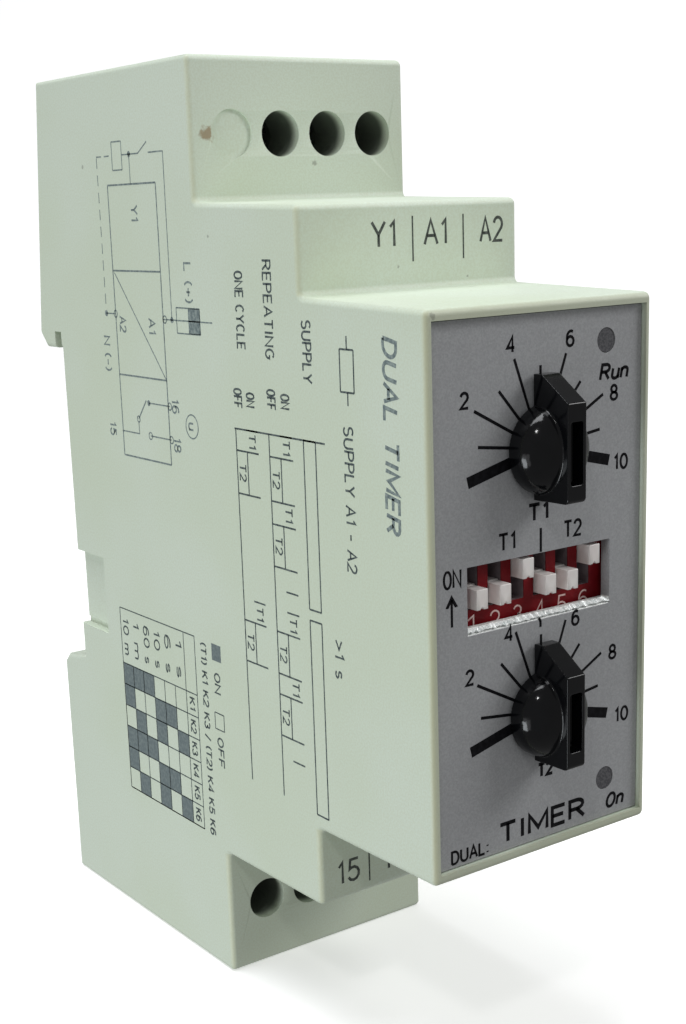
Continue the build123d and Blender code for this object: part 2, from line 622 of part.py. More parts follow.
# The armature is a plate over the core, tilted open about the top edge of the
# yoke.  Its plane runs from the hinge towards the core, with height above the
# yoke as the second direction.
ARMATURE_OPEN = 5.0        # degrees
HINGE_X = YOKE_TOP_X + ARMATURE_GAP
HINGE_Y = YOKE_Y + YOKE_T / 2
ARMATURE_SPAN = (-0.5, 8.6)
ARMATURE_LIFT = 0.1
ARMATURE_HALF_W = 3.7
armature_plane = Plane(
    origin=(HINGE_X, HINGE_Y, COIL_Z), x_dir=(0, -1, 0), z_dir=(0, 0, 1)
).rotated((0, 0, ARMATURE_OPEN))
with BuildPart() as relay_armature:
    with BuildSketch(armature_plane.offset(-ARMATURE_HALF_W)):
        rectangle(*ARMATURE_SPAN, ARMATURE_LIFT, ARMATURE_LIFT + ARMATURE_T)
    extrude(amount=2 * ARMATURE_HALF_W)
save(relay_armature, "relay_armature")

CONTACT_HALF_W = 1.5
SPRING_SPAN = (-5.0, 4.3)
SPRING_T = 0.3
SPRING_LIFT = ARMATURE_LIFT + ARMATURE_T
TIP_SPAN = (-4.8, -3.4)
TIP_LIFT = (0.5, 2.0)
with BuildPart() as relay_moving_contact:
    with BuildSketch(armature_plane.offset(-CONTACT_HALF_W)):
        rectangle(*SPRING_SPAN, SPRING_LIFT, SPRING_LIFT + SPRING_T)
        rectangle(*TIP_SPAN, *TIP_LIFT)
    extrude(amount=2 * CONTACT_HALF_W)
save(relay_moving_contact, "relay_moving_contact")

# fixed contacts, in X: one under the moving tip, and one hooked over it
RESTING_Y = (-20.9, -19.7)
RESTING_TOP_X = 3.1
WORKING_Y = (-18.2, -17.4)
WORKING_TOP_X = 6.1
HOOK_T = 0.6
with BuildPart() as relay_resting_contact:
    with BuildSketch(Plane.XY.offset(COIL_Z - CONTACT_HALF_W)):
        rectangle(RELAY_FLOOR_X, RESTING_TOP_X, *RESTING_Y)
    extrude(amount=2 * CONTACT_HALF_W)
save(relay_resting_contact, "relay_resting_contact")

with BuildPart() as relay_working_contact:
    with BuildSketch(Plane.XY.offset(COIL_Z - CONTACT_HALF_W)):
        rectangle(RELAY_FLOOR_X, WORKING_TOP_X, *WORKING_Y)
        rectangle(WORKING_TOP_X - HOOK_T, WORKING_TOP_X, RESTING_Y[0], WORKING_Y[1])
    extrude(amount=2 * CONTACT_HALF_W)
save(relay_working_contact, "relay_working_contact")

# ---------------------------------------------------------------------------
# Other parts on the main board: limits are low Y, high Y, low Z, high Z
# ---------------------------------------------------------------------------
TRANSFORMER = (-34.0, -20.0, -7.0, 7.0)
TRANSFORMER_LAYERS = [(3.0, 0.0), (6.0, 1.5), (3.0, 0.0)]      # height and inset of core, winding, core
CAPACITOR_AT = (-42.5, -3.0)
CAPACITOR_D = 9.0
CAPACITOR_HEIGHT = 13.0
CAPACITOR_ROUND = 0.6
DROPPER = (-31.0, -18.0, 11.5, 18.0)
DROPPER_HEIGHT = 11.0
DROPPER_ROUND = 0.5
DISC_AT = (-40.0, 15.5)
DISC_D = 8.0
DISC_T = 3.0
DISC_LIFT = 1.0
LEAD_SPACING = 5.0
LEAD_D = 0.7
RECTIFIER = (-26.0, -19.0, 21.0, 27.0)
RECTIFIER_HEIGHT = 2.6
CHIP = (-52.0, -47.0, 4.0, 14.0)
CHIP_LIFT = 0.2
CHIP_HEIGHT = 1.6
LEG_COUNT = 8
LEG_PITCH = 1.27
LEG_WIDTH = 0.4
LEG_HEIGHT = 0.5
LEG_REACH = 0.8
HEADER_T = 2.5
FRONT_HEADER_Z = (-18.0, -8.0)
REAR_HEADER_Z = (-8.0, 12.0)

with BuildPart() as power_transformer:
    layer_x = COMPONENT_X
    for height, inset in TRANSFORMER_LAYERS:
        with BuildSketch(side_plane(layer_x)):
            rectangle(TRANSFORMER[0] + inset, TRANSFORMER[1] - inset,
                      TRANSFORMER[2] + inset, TRANSFORMER[3] - inset)
        extrude(amount=height)
        layer_x += height
save(power_transformer, "power_transformer")

with BuildPart() as smoothing_capacitor:
    with BuildSketch(side_plane(COMPONENT_X)):
        with Locations(CAPACITOR_AT):
            Circle(CAPACITOR_D / 2)
    extrude(amount=CAPACITOR_HEIGHT)
    fillet(smoothing_capacitor.edges().sort_by(Axis.X)[-1], CAPACITOR_ROUND)
save(smoothing_capacitor, "smoothing_capacitor")

with BuildPart() as dropper_capacitor:
    with BuildSketch(side_plane(COMPONENT_X)):
        rectangle(*DROPPER)
    extrude(amount=DROPPER_HEIGHT)
    fillet(dropper_capacitor.edges().filter_by(Axis.X), DROPPER_ROUND)
save(dropper_capacitor, "dropper_capacitor")

with BuildPart() as surge_disc:
    with BuildSketch(Plane.XY.offset(DISC_AT[1] - DISC_T / 2)):
        with Locations((COMPONENT_X + DISC_LIFT + DISC_D / 2, DISC_AT[0])):
            Circle(DISC_D / 2)
    extrude(amount=DISC_T)
    with BuildSketch(side_plane(COMPONENT_X)):
        for side in (-1, 1):
            with Locations((DISC_AT[0] + side * LEAD_SPACING / 2, DISC_AT[1])):
                Circle(LEAD_D / 2)
    extrude(amount=DISC_LIFT + DISC_D / 2)
save(surge_disc, "surge_disc")

with BuildPart() as bridge_rectifier:
    with BuildSketch(side_plane(COMPONENT_X)):
        rectangle(*RECTIFIER)
    extrude(amount=RECTIFIER_HEIGHT)
save(bridge_rectifier, "bridge_rectifier")

with BuildPart() as timer_chip:
    with BuildSketch(side_plane(COMPONENT_X + CHIP_LIFT)):
        rectangle(*CHIP)
    extrude(amount=CHIP_HEIGHT)
    first_leg_z = (CHIP[2] + CHIP[3] - LEG_PITCH * (LEG_COUNT - 1)) / 2
    with BuildSketch(side_plane(COMPONENT_X)):
        for leg in range(LEG_COUNT):
            leg_z = first_leg_z + LEG_PITCH * leg
            rectangle(CHIP[0] - LEG_REACH, CHIP[1] + LEG_REACH, leg_z - LEG_WIDTH / 2, leg_z + LEG_WIDTH / 2)
    extrude(amount=LEG_HEIGHT)
save(timer_chip, "timer_chip")

with BuildPart() as front_header:
    with BuildSketch(front_plane(FRONT_BOARD_Y + BOARD_T + HEADER_T)):
        rectangle(COMPONENT_X, COMPONENT_X + HEADER_T, *FRONT_HEADER_Z)
    extrude(amount=HEADER_T)
save(front_header, "front_header")

with BuildPart() as rear_header:
    with BuildSketch(front_plane(TERMINAL_BOARD_Y)):
        rectangle(COMPONENT_X, COMPONENT_X + HEADER_T, *REAR_HEADER_Z)
    extrude(amount=HEADER_T)
save(rear_header, "rear_header")

# ---------------------------------------------------------------------------
# Sliding rail clip and the spring that pushes it up
# ---------------------------------------------------------------------------
RELEASE_SLOT = (2.5, -43.0, -40.5)        # half width, bottom and top of the screwdriver slot
with BuildPart() as rail_clip:
    with BuildSketch(side_plane(-CLIP_HALF_W)):
        Polygon(
            (FLANGE_Y[0], CLIP_BOTTOM), (CLIP_BACK_Y, CLIP_BOTTOM),
            (CLIP_BACK_Y, CLIP_SLOPE_Z), (FLANGE_Y[0] + TOOTH_T, CLIP_TOP), (FLANGE_Y[0], CLIP_TOP),
            align=None,
        )
    extrude(amount=2 * CLIP_HALF_W)
    with BuildSketch(front_plane(FLANGE_Y[1])):
        rectangle(-FLANGE_HALF_W, FLANGE_HALF_W, *FLANGE_Z)
    extrude(amount=FLANGE_Y[1] - FLANGE_Y[0])
    with BuildSketch(front_plane(FLANGE_Y[0])):
        rectangle(-SPRING_POCKET[0], SPRING_POCKET[0], SPRING_POCKET[1], SPRING_POCKET[2])
    extrude(amount=-(SPRING_POCKET[3] - FLANGE_Y[0]), mode=Mode.SUBTRACT)
    with BuildSketch(front_plane(FLANGE_Y[0])):
        rectangle(-RELEASE_SLOT[0], RELEASE_SLOT[0], RELEASE_SLOT[1], RELEASE_SLOT[2])
    extrude(amount=-BACK_Y, mode=Mode.SUBTRACT)
save(rail_clip, "rail_clip")

FOLDS = 6                  # an even number, so the strip starts and ends on the same side
SPRING_WIRE = 0.35
SPRING_HALF_W = 2.2
SPRING_Y = (1.7, 2.8)
spring_low = PEG[2] + SPRING_WIRE / 2
spring_high = SPRING_POCKET[2] - SPRING_WIRE / 2
fold_step = (spring_high - spring_low) / FOLDS
zigzag = [(-SPRING_HALF_W, spring_low)]
for fold in range(FOLDS):
    edge = SPRING_HALF_W if fold % 2 == 0 else -SPRING_HALF_W
    zigzag.append((edge, spring_low + fold_step * (fold + 0.5)))
zigzag.append((-SPRING_HALF_W, spring_high))
with BuildPart() as clip_spring:
    with BuildSketch(front_plane(SPRING_Y[1])):
        with BuildLine():
            Polyline(*zigzag)
            offset(amount=SPRING_WIRE / 2)
        make_face()
    extrude(amount=SPRING_Y[1] - SPRING_Y[0])
save(clip_spring, "clip_spring")
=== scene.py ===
import json
import math
import random

import bmesh
import bpy
from mathutils import Matrix, Vector


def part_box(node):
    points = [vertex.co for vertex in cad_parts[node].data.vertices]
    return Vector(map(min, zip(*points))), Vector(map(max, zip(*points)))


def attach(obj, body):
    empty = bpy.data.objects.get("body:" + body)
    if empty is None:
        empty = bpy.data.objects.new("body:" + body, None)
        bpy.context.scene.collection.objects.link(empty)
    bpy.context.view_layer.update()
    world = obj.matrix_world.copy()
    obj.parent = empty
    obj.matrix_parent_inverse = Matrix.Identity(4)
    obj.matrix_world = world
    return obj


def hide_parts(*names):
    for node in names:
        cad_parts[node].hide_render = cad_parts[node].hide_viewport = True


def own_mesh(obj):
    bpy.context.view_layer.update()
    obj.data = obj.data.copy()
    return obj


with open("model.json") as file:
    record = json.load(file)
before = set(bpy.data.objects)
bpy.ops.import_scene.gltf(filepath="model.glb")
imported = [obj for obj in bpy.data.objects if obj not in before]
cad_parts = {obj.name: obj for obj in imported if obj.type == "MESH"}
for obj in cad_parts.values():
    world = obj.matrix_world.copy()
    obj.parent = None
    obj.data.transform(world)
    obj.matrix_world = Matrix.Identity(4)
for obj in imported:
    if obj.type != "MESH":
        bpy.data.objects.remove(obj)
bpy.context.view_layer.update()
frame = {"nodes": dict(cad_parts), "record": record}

# ---------------------------------------------------------------------------
# Places, in metres.  They are read from the frame where the frame has them.
# ---------------------------------------------------------------------------
MM = 0.001
NODES = frame["nodes"]
TERMINALS = ("y1", "a1", "a2", "15", "16", "18")
SWITCHES = range(1, 7)

HOUSING_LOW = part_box("housing_body")[0]
FRONT_Y = HOUSING_LOW.y
LEFT_X = HOUSING_LOW.x
PLATE_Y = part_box("front_plate")[0].y
SWITCH_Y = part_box("switch_body")[0].y
SHELF_Y = FRONT_Y + 16.8 * MM
TERMINAL_Y = FRONT_Y + 33.3 * MM
WINDOW_LEFT = -8.05 * MM   # edges of the switch window in the front plate
WINDOW_RIGHT = 8.05 * MM
WINDOW_BOTTOM = -2.6 * MM

INK = 0.012 * MM           # half the thickness of a printed mark
WELD_REACH = 0.0005 * MM   # corners closer than this are one corner


def dial_centre(number):
    low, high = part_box(f"dial_shaft_t{number}")
    return (low.x + high.x) / 2, (low.z + high.z) / 2


# ---------------------------------------------------------------------------
# Node materials.  Coordinates are the object's own, in metres.
# ---------------------------------------------------------------------------
def new_material(name, roughness, metallic=0.0, coat=0.0, specular=0.5):
    material = bpy.data.materials.new(name)
    material.use_nodes = True
    shader = material.node_tree.nodes["Principled BSDF"]
    shader.inputs["Roughness"].default_value = roughness
    shader.inputs["Metallic"].default_value = metallic
    shader.inputs["Coat Weight"].default_value = coat
    shader.inputs["Coat Roughness"].default_value = 0.08
    shader.inputs["Specular IOR Level"].default_value = specular
    return material, material.node_tree, shader


def place(tree):
    return tree.nodes.new("ShaderNodeTexCoord").outputs["Object"]


def noise(tree, scale, detail=3.0, stretch=None):
    """Noise between 0 and 1; scale is in features per metre."""
    texture = tree.nodes.new("ShaderNodeTexNoise")
    texture.inputs["Scale"].default_value = scale
    texture.inputs["Detail"].default_value = detail
    coordinates = place(tree)
    if stretch:
        mapping = tree.nodes.new("ShaderNodeMapping")
        mapping.inputs["Scale"].default_value = stretch
        tree.links.new(coordinates, mapping.inputs["Vector"])
        coordinates = mapping.outputs["Vector"]
    tree.links.new(coordinates, texture.inputs["Vector"])
    return texture.outputs["Fac"]


def spread(tree, value, low, high, new_low=0.0, new_high=1.0):
    """Maps value from low..high to new_low..new_high, clamped."""
    node = tree.nodes.new("ShaderNodeMapRange")
    node.interpolation_type = "SMOOTHSTEP"
    node.inputs["From Min"].default_value = low
    node.inputs["From Max"].default_value = high
    node.inputs["To Min"].default_value = new_low
    node.inputs["To Max"].default_value = new_high
    tree.links.new(value, node.inputs["Value"])
    return node.outputs["Result"]


def combine(tree, operation, first, second):
    node = tree.nodes.new("ShaderNodeMath")
    node.operation = operation
    for socket, value in zip(node.inputs, (first, second)):
        if isinstance(value, (int, float)):
            socket.default_value = value
        else:
            tree.links.new(value, socket)
    return node.outputs["Value"]


def blend(tree, factor, first, second):
    """Mixes two colours; each is a tuple or a socket."""
    node = tree.nodes.new("ShaderNodeMix")
    node.data_type = "RGBA"
    tree.links.new(factor, node.inputs[0])
    for socket, colour in ((node.inputs[6], first), (node.inputs[7], second)):
        if isinstance(colour, tuple):
            socket.default_value = (*colour, 1.0)
        else:
            tree.links.new(colour, socket)
    return node.outputs[2]


def axis_value(tree, axis):
    node = tree.nodes.new("ShaderNodeSeparateXYZ")
    tree.links.new(place(tree), node.inputs[0])
    return node.outputs[axis]


def spot(tree, centre, radius, ragged=0.3):
    """1 inside a small ragged spot round centre, 0 outside."""
    distance = tree.nodes.new("ShaderNodeVectorMath")
    distance.operation = "DISTANCE"
    tree.links.new(place(tree), distance.inputs[0])
    distance.inputs[1].default_value = centre
    wobble = spread(tree, noise(tree, 1.2 / radius), 0.3, 0.7, -ragged * radius, ragged * radius)
    edge = combine(tree, "ADD", distance.outputs["Value"], wobble)
    return spread(tree, edge, radius, radius * 0.45)


def roughen(tree, shader, height, strength, distance):
    bump = tree.nodes.new("ShaderNodeBump")
    bump.inputs["Strength"].default_value = strength
    bump.inputs["Distance"].default_value = distance
    tree.links.new(height, bump.inputs["Height"])
    tree.links.new(bump.outputs["Normal"], shader.inputs["Normal"])


def vary_roughness(tree, shader, scale, low, high):
    tree.links.new(spread(tree, noise(tree, scale), 0.3, 0.7, low, high), shader.inputs["Roughness"])


IVORY = (0.640, 0.722, 0.585)
IVORY_PALE = (0.672, 0.752, 0.642)
IVORY_AGED = (0.520, 0.535, 0.360)
RIM_TONE = (0.440, 0.455, 0.330)
# yellowish painted highlight for the rounded left front edges
EDGE_HIGHLIGHT = (0.62, 0.60, 0.33)
# painted shade for the hollow inside and the terminal bores
INSIDE_SHADE = (0.060, 0.070, 0.060)
STAIN = (0.28, 0.17, 0.07)
DIRT = (0.20, 0.21, 0.17)


def housing_plastic():
    """Ivory plastic, darker and yellower on the front rim, with a painted highlight along the left front
    edges and painted shade down inside.
    """
    material, tree, shader = new_material("housing_plastic", 0.5, specular=0.35)
    clouds = spread(tree, noise(tree, 45, 2.0), 0.35, 0.65)
    grain = spread(tree, noise(tree, 5200, 2.0), 0.35, 0.65, 0.0, 0.22)
    colour = blend(tree, clouds, IVORY, IVORY_PALE)
    colour = blend(tree, grain, colour, IVORY_AGED)
    rim = spread(tree, axis_value(tree, 1), FRONT_Y + 0.45 * MM, FRONT_Y + 0.1 * MM, 0.0, 0.62)
    colour = blend(tree, rim, colour, RIM_TONE)
    out = spread(tree, axis_value(tree, 0), LEFT_X + 0.55 * MM, LEFT_X + 0.1 * MM)
    height = combine(tree, "ABSOLUTE", axis_value(tree, 2), 0.0)
    # each step's front edge, and how far from mid-height its painted highlight begins: a yellowish band
    # painted along the rounded left edge of each step's front face
    for face_y, foot in ((FRONT_Y, -1.0), (SHELF_Y, 24.0), (TERMINAL_Y, 32.0)):
        off = combine(tree, "ABSOLUTE", combine(tree, "SUBTRACT", axis_value(tree, 1), face_y), 0.0)
        close = spread(tree, off, 0.6 * MM, 0.1 * MM, 0.0, 0.34)
        beyond = spread(tree, height, (foot - 0.2) * MM, (foot + 0.2) * MM)
        edge = combine(tree, "MULTIPLY", combine(tree, "MULTIPLY", close, out), beyond)
        colour = blend(tree, edge, colour, EDGE_HIGHLIGHT)
    # painted shade down in the cavity and the terminal bores; the cavity lies between the side walls, in
    # front of the back and short of both ends
    deep = spread(tree, axis_value(tree, 1), TERMINAL_Y + 0.2 * MM, TERMINAL_Y + 1.6 * MM)
    across = spread(tree, combine(tree, "ABSOLUTE", axis_value(tree, 0), 0.0), 11.1 * MM, 10.9 * MM)
    below_back = spread(tree, axis_value(tree, 1), -3.0 * MM, -5.0 * MM)
    below_top = spread(tree, combine(tree, "ABSOLUTE", axis_value(tree, 2), 0.0), 44.6 * MM, 44.0 * MM)
    inside = combine(tree, "MULTIPLY", combine(tree, "MULTIPLY", deep, across),
                     combine(tree, "MULTIPLY", below_back, below_top))
    colour = blend(tree, combine(tree, "MULTIPLY", inside, 0.88), colour, INSIDE_SHADE)
    stained = spot(tree, (-10.45 * MM, TERMINAL_Y, 38.0 * MM), 0.85 * MM)
    colour = blend(tree, combine(tree, "MULTIPLY", stained, 0.75), colour, STAIN)
    marks = [
        ((1.4 * MM, TERMINAL_Y, 35.3 * MM), 0.32 * MM),
        ((-1.6 * MM, SHELF_Y, 25.9 * MM), 0.16 * MM),
        ((6.3 * MM, SHELF_Y, 24.7 * MM), 0.14 * MM),
        ((LEFT_X, -8.0 * MM, 36.0 * MM), 0.28 * MM),
        ((LEFT_X, FRONT_Y + 31.0 * MM, 29.0 * MM), 0.2 * MM),
        ((-11.5 * MM, FRONT_Y, 22.9 * MM), 0.35 * MM),
    ]
    for centre, radius in marks:
        colour = blend(tree, combine(tree, "MULTIPLY", spot(tree, centre, radius), 0.55), colour, DIRT)
    tree.links.new(colour, shader.inputs["Base Color"])
    vary_roughness(tree, shader, 900, 0.46, 0.58)
    roughen(tree, shader, noise(tree, 3400, 3.0), 0.22, 0.02 * MM)
    return material


PLATE_DARK = (0.335, 0.344, 0.352)
PLATE_PALE = (0.405, 0.415, 0.423)
PLATE_MIDDLE = (0.355, 0.355, 0.372)
PLATE_WORN = (0.78, 0.80, 0.78)


def plate_print_base():
    """Silver-grey printed plate with a fine sparkle; bare white where the window's lower edge is worn."""
    material, tree, shader = new_material("plate_silver", 0.42, metallic=0.12, specular=0.3)
    fine = spread(tree, noise(tree, 6500, 2.0), 0.34, 0.66)
    coarse = spread(tree, noise(tree, 2300, 2.0), 0.3, 0.7, 0.0, 0.4)
    colour = blend(tree, fine, PLATE_DARK, PLATE_PALE)
    colour = blend(tree, coarse, colour, PLATE_MIDDLE)
    below_face = spread(tree, axis_value(tree, 1), PLATE_Y + 0.02 * MM, PLATE_Y + 0.06 * MM)
    near_edge = spread(tree, axis_value(tree, 2), WINDOW_BOTTOM + 0.12 * MM, WINDOW_BOTTOM + 0.08 * MM)
    worn = combine(tree, "MULTIPLY", below_face, near_edge)
    above = spread(tree, axis_value(tree, 2), WINDOW_BOTTOM - 0.8 * MM, WINDOW_BOTTOM - 0.7 * MM)
    worn = combine(tree, "MULTIPLY", worn, above)
    colour = blend(tree, worn, colour, PLATE_WORN)
    tree.links.new(colour, shader.inputs["Base Color"])
    vary_roughness(tree, shader, 5200, 0.36, 0.52)
    roughen(tree, shader, noise(tree, 5200, 2.0), 0.16, 0.015 * MM)
    return material


def moulded(name, colour, second, roughness, coat=0.0, scale=700, bump=0.12, specular=0.5):
    """Moulded plastic of two close colours."""
    material, tree, shader = new_material(name, roughness, coat=coat, specular=specular)
    mixed = blend(tree, spread(tree, noise(tree, scale), 0.35, 0.65), colour, second)
    tree.links.new(mixed, shader.inputs["Base Color"])
    vary_roughness(tree, shader, scale * 2, roughness * 0.85, roughness * 1.2)
    roughen(tree, shader, noise(tree, scale * 4), bump, 0.01 * MM)
    return material


def metal(name, colour, second, roughness, stretch=(1.0, 1.0, 1.0)):
    """Plated metal with fine marks, drawn out along the axis where stretch is smallest."""
    material, tree, shader = new_material(name, roughness, metallic=1.0)
    lines = noise(tree, 2600, 3.0, stretch)
    tree.links.new(blend(tree, spread(tree, lines, 0.35, 0.65), colour, second), shader.inputs["Base Color"])
    vary_roughness(tree, shader, 1800, roughness * 0.8, roughness * 1.3)
    roughen(tree, shader, lines, 0.2, 0.01 * MM)
    return material


def switch_red():
    """Red on the face of the block; grey down in each slot: painted shade on the white slider feet that line
    them.
    """
    material, tree, shader = new_material("switch_red", 0.4, specular=0.15)
    clouds = spread(tree, noise(tree, 900), 0.3, 0.7)
    face = blend(tree, clouds, (0.180, 0.006, 0.010), (0.235, 0.010, 0.015))
    # painted shade: the white slider feet in the slot coloured grey as if in shadow
    shaded_slot_feet = blend(tree, clouds, (0.175, 0.135, 0.145), (0.265, 0.225, 0.240))
    inside = spread(tree, axis_value(tree, 1), SWITCH_Y + 0.04 * MM, SWITCH_Y + 0.12 * MM)
    tree.links.new(blend(tree, inside, face, shaded_slot_feet), shader.inputs["Base Color"])
    roughen(tree, shader, noise(tree, 3000), 0.15, 0.01 * MM)
    return material


def lamp_lens():
    """Dark grey speckled lens."""
    material, tree, shader = new_material("lamp_lens", 0.45, coat=0.15)
    specks = spread(tree, noise(tree, 5200, 2.0), 0.38, 0.62)
    colour = blend(tree, specks, (0.052, 0.052, 0.058), (0.100, 0.100, 0.108))
    tree.links.new(colour, shader.inputs["Base Color"])
    roughen(tree, shader, noise(tree, 5200, 2.0), 0.3, 0.01 * MM)
    return material


def circuit_board():
    """Green lacquer with slightly raised tracks."""
    material, tree, shader = new_material("circuit_board", 0.35, coat=0.3)
    tracks = noise(tree, 420, 1.0, (1.0, 4.0, 1.0))
    lines = spread(tree, tracks, 0.50, 0.53)
    colour = blend(tree, lines, (0.015, 0.105, 0.045), (0.030, 0.175, 0.075))
    tree.links.new(colour, shader.inputs["Base Color"])
    roughen(tree, shader, lines, 0.4, 0.02 * MM)
    return material


def winding():
    """Fine enamelled wire, wound round the coil's axis."""
    material, tree, shader = new_material("coil_copper", 0.35, metallic=0.7, coat=0.4)
    wave = tree.nodes.new("ShaderNodeTexWave")
    wave.bands_direction = "X"
    wave.inputs["Scale"].default_value = 1200
    tree.links.new(place(tree), wave.inputs["Vector"])
    colour = blend(tree, wave.outputs["Fac"], (0.30, 0.09, 0.03), (0.62, 0.24, 0.09))
    tree.links.new(colour, shader.inputs["Base Color"])
    roughen(tree, shader, wave.outputs["Fac"], 0.5, 0.03 * MM)
    return material


def ink(name, colour, second, roughness=0.6):
    """Printed ink, a little uneven."""
    material, tree, shader = new_material(name, roughness, specular=0.08)
    patches = spread(tree, noise(tree, 2600, 3.0), 0.35, 0.70)
    tree.links.new(blend(tree, patches, colour, second), shader.inputs["Base Color"])
    return material


HOUSING = housing_plastic()
PLATE = plate_print_base()
KNOB = moulded("knob_black", (0.0018, 0.0020, 0.0026), (0.0028, 0.0030, 0.0038), 0.11,
               bump=0.08, specular=0.3)
SLIDER = moulded("slider_white", (0.84, 0.790, 0.760), (0.90, 0.865, 0.835), 0.34, coat=0.2)
SWITCH = switch_red()
LENS = lamp_lens()
BOARD = circuit_board()
COPPER = winding()
BLACK_PLASTIC = moulded("moulding_black", (0.018, 0.018, 0.020), (0.030, 0.030, 0.032), 0.45)
BLUE_PLASTIC = moulded("moulding_blue", (0.020, 0.060, 0.260), (0.030, 0.085, 0.330), 0.35)
YELLOW_PLASTIC = moulded("moulding_yellow", (0.62, 0.42, 0.06), (0.70, 0.50, 0.09), 0.4)
YELLOW_TAPE = moulded("coil_yellow", (0.68, 0.52, 0.07), (0.74, 0.60, 0.12), 0.3)
CAPACITOR = moulded("capacitor_black", (0.015, 0.015, 0.030), (0.025, 0.025, 0.045), 0.25, coat=0.4)
SHAFT = moulded("shaft_white", (0.70, 0.70, 0.66), (0.76, 0.76, 0.72), 0.4)
SCREW_STEEL = metal("screw_steel", (0.30, 0.30, 0.29), (0.52, 0.51, 0.49), 0.3)
CLAMP_STEEL = metal("clamp_steel", (0.42, 0.42, 0.41), (0.60, 0.60, 0.58), 0.35, (1.0, 0.2, 1.0))
BRASS = metal("contact_brass", (0.60, 0.46, 0.20), (0.78, 0.64, 0.34), 0.3, (1.0, 0.2, 1.0))
SPRING_STEEL = metal("spring_steel", (0.45, 0.45, 0.46), (0.62, 0.62, 0.63), 0.28)
INK_BLACK = ink("ink_black", (0.004, 0.004, 0.005), (0.010, 0.010, 0.012), 0.5)
INK_GREY = ink("ink_grey", (0.060, 0.068, 0.062), (0.130, 0.142, 0.128))
INK_SIDE = ink("ink_side", (0.060, 0.078, 0.082), (0.150, 0.180, 0.172))
INK_FAINT = ink("ink_faint", (0.150, 0.190, 0.195), (0.300, 0.355, 0.335))
INK_BLOCK = ink("ink_block", (0.150, 0.185, 0.190), (0.205, 0.245, 0.240))
INK_WHITE = ink("ink_white", (0.80, 0.55, 0.52), (0.92, 0.76, 0.72))
WORN_WHITE = moulded("worn_white", (0.66, 0.72, 0.71), (0.95, 0.96, 0.95), 0.25,
                     coat=0.3, scale=5000, bump=0.6)

SLOT_MATERIALS = {
    "housing_ivory": HOUSING, "clip_ivory": HOUSING, "plate_grey": PLATE, "circuit_board": BOARD,
    "moulding_blue": BLUE_PLASTIC, "shaft_white": SHAFT, "knob_black": KNOB, "switch_red": SWITCH,
    "slider_white": SLIDER, "lamp_lens": LENS, "screw_steel": SCREW_STEEL, "clamp_steel": CLAMP_STEEL,
    "contact_brass": BRASS, "moulding_black": BLACK_PLASTIC, "coil_copper": COPPER,
    "coil_yellow": YELLOW_TAPE, "capacitor_black": CAPACITOR, "moulding_yellow": YELLOW_PLASTIC,
    "spring_steel": SPRING_STEEL,
}


def paint(thing, material):
    thing.data.materials.clear()
    thing.data.materials.append(material)


for subpart in frame["record"]["subparts"]:
    paint(NODES[subpart["node"]], SLOT_MATERIALS[subpart["material_slot"]])


# ---------------------------------------------------------------------------
# Rounded edges on the CAD parts that show
# ---------------------------------------------------------------------------
def round_edges(thing, width, segments=3, angle=35.0):
    """Joins the split corners, then bevels and shades the sharp edges."""
    weld = thing.modifiers.new("weld", "WELD")
    weld.merge_threshold = WELD_REACH
    bevel = thing.modifiers.new("bevel", "BEVEL")
    bevel.width = width
    bevel.segments = segments
    bevel.limit_method = "ANGLE"
    bevel.angle_limit = math.radians(angle)
    bevel.use_clamp_overlap = True
    bevel.face_strength_mode = "FSTR_ALL"
    normals = thing.modifiers.new("normals", "WEIGHTED_NORMAL")
    normals.weight = 100
    normals.use_face_influence = True
    for polygon in thing.data.polygons:
        polygon.use_smooth = True


round_edges(NODES["housing_body"], 0.14 * MM, segments=2)
round_edges(NODES["rail_clip"], 0.25 * MM)
round_edges(NODES["switch_body"], 0.08 * MM, segments=2)
for switch in SWITCHES:
    round_edges(NODES[f"switch_slider_{switch}"], 0.13 * MM)
for terminal in TERMINALS:
    round_edges(NODES[f"terminal_screw_{terminal}"], 0.12 * MM, segments=2)


# ---------------------------------------------------------------------------
# Mesh helpers
# ---------------------------------------------------------------------------
def add_piece(name, mesh_data, material, body):
    piece = bpy.data.objects.new(name, mesh_data)
    bpy.context.scene.collection.objects.link(piece)
    paint(piece, material)
    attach(piece, body)
    return piece


class Surface:
    """A flat face: a point from two numbers, and the way it faces."""

    def __init__(self, origin, right, up, normal):
        self.origin = Vector(origin)
        self.right = Vector(right)
        self.up = Vector(up)
        self.normal = Vector(normal)
        self.flip = 1 if self.right.cross(self.up).dot(self.normal) > 0 else -1

    def point(self, u, v):
        return self.origin + self.right * u * MM + self.up * v * MM


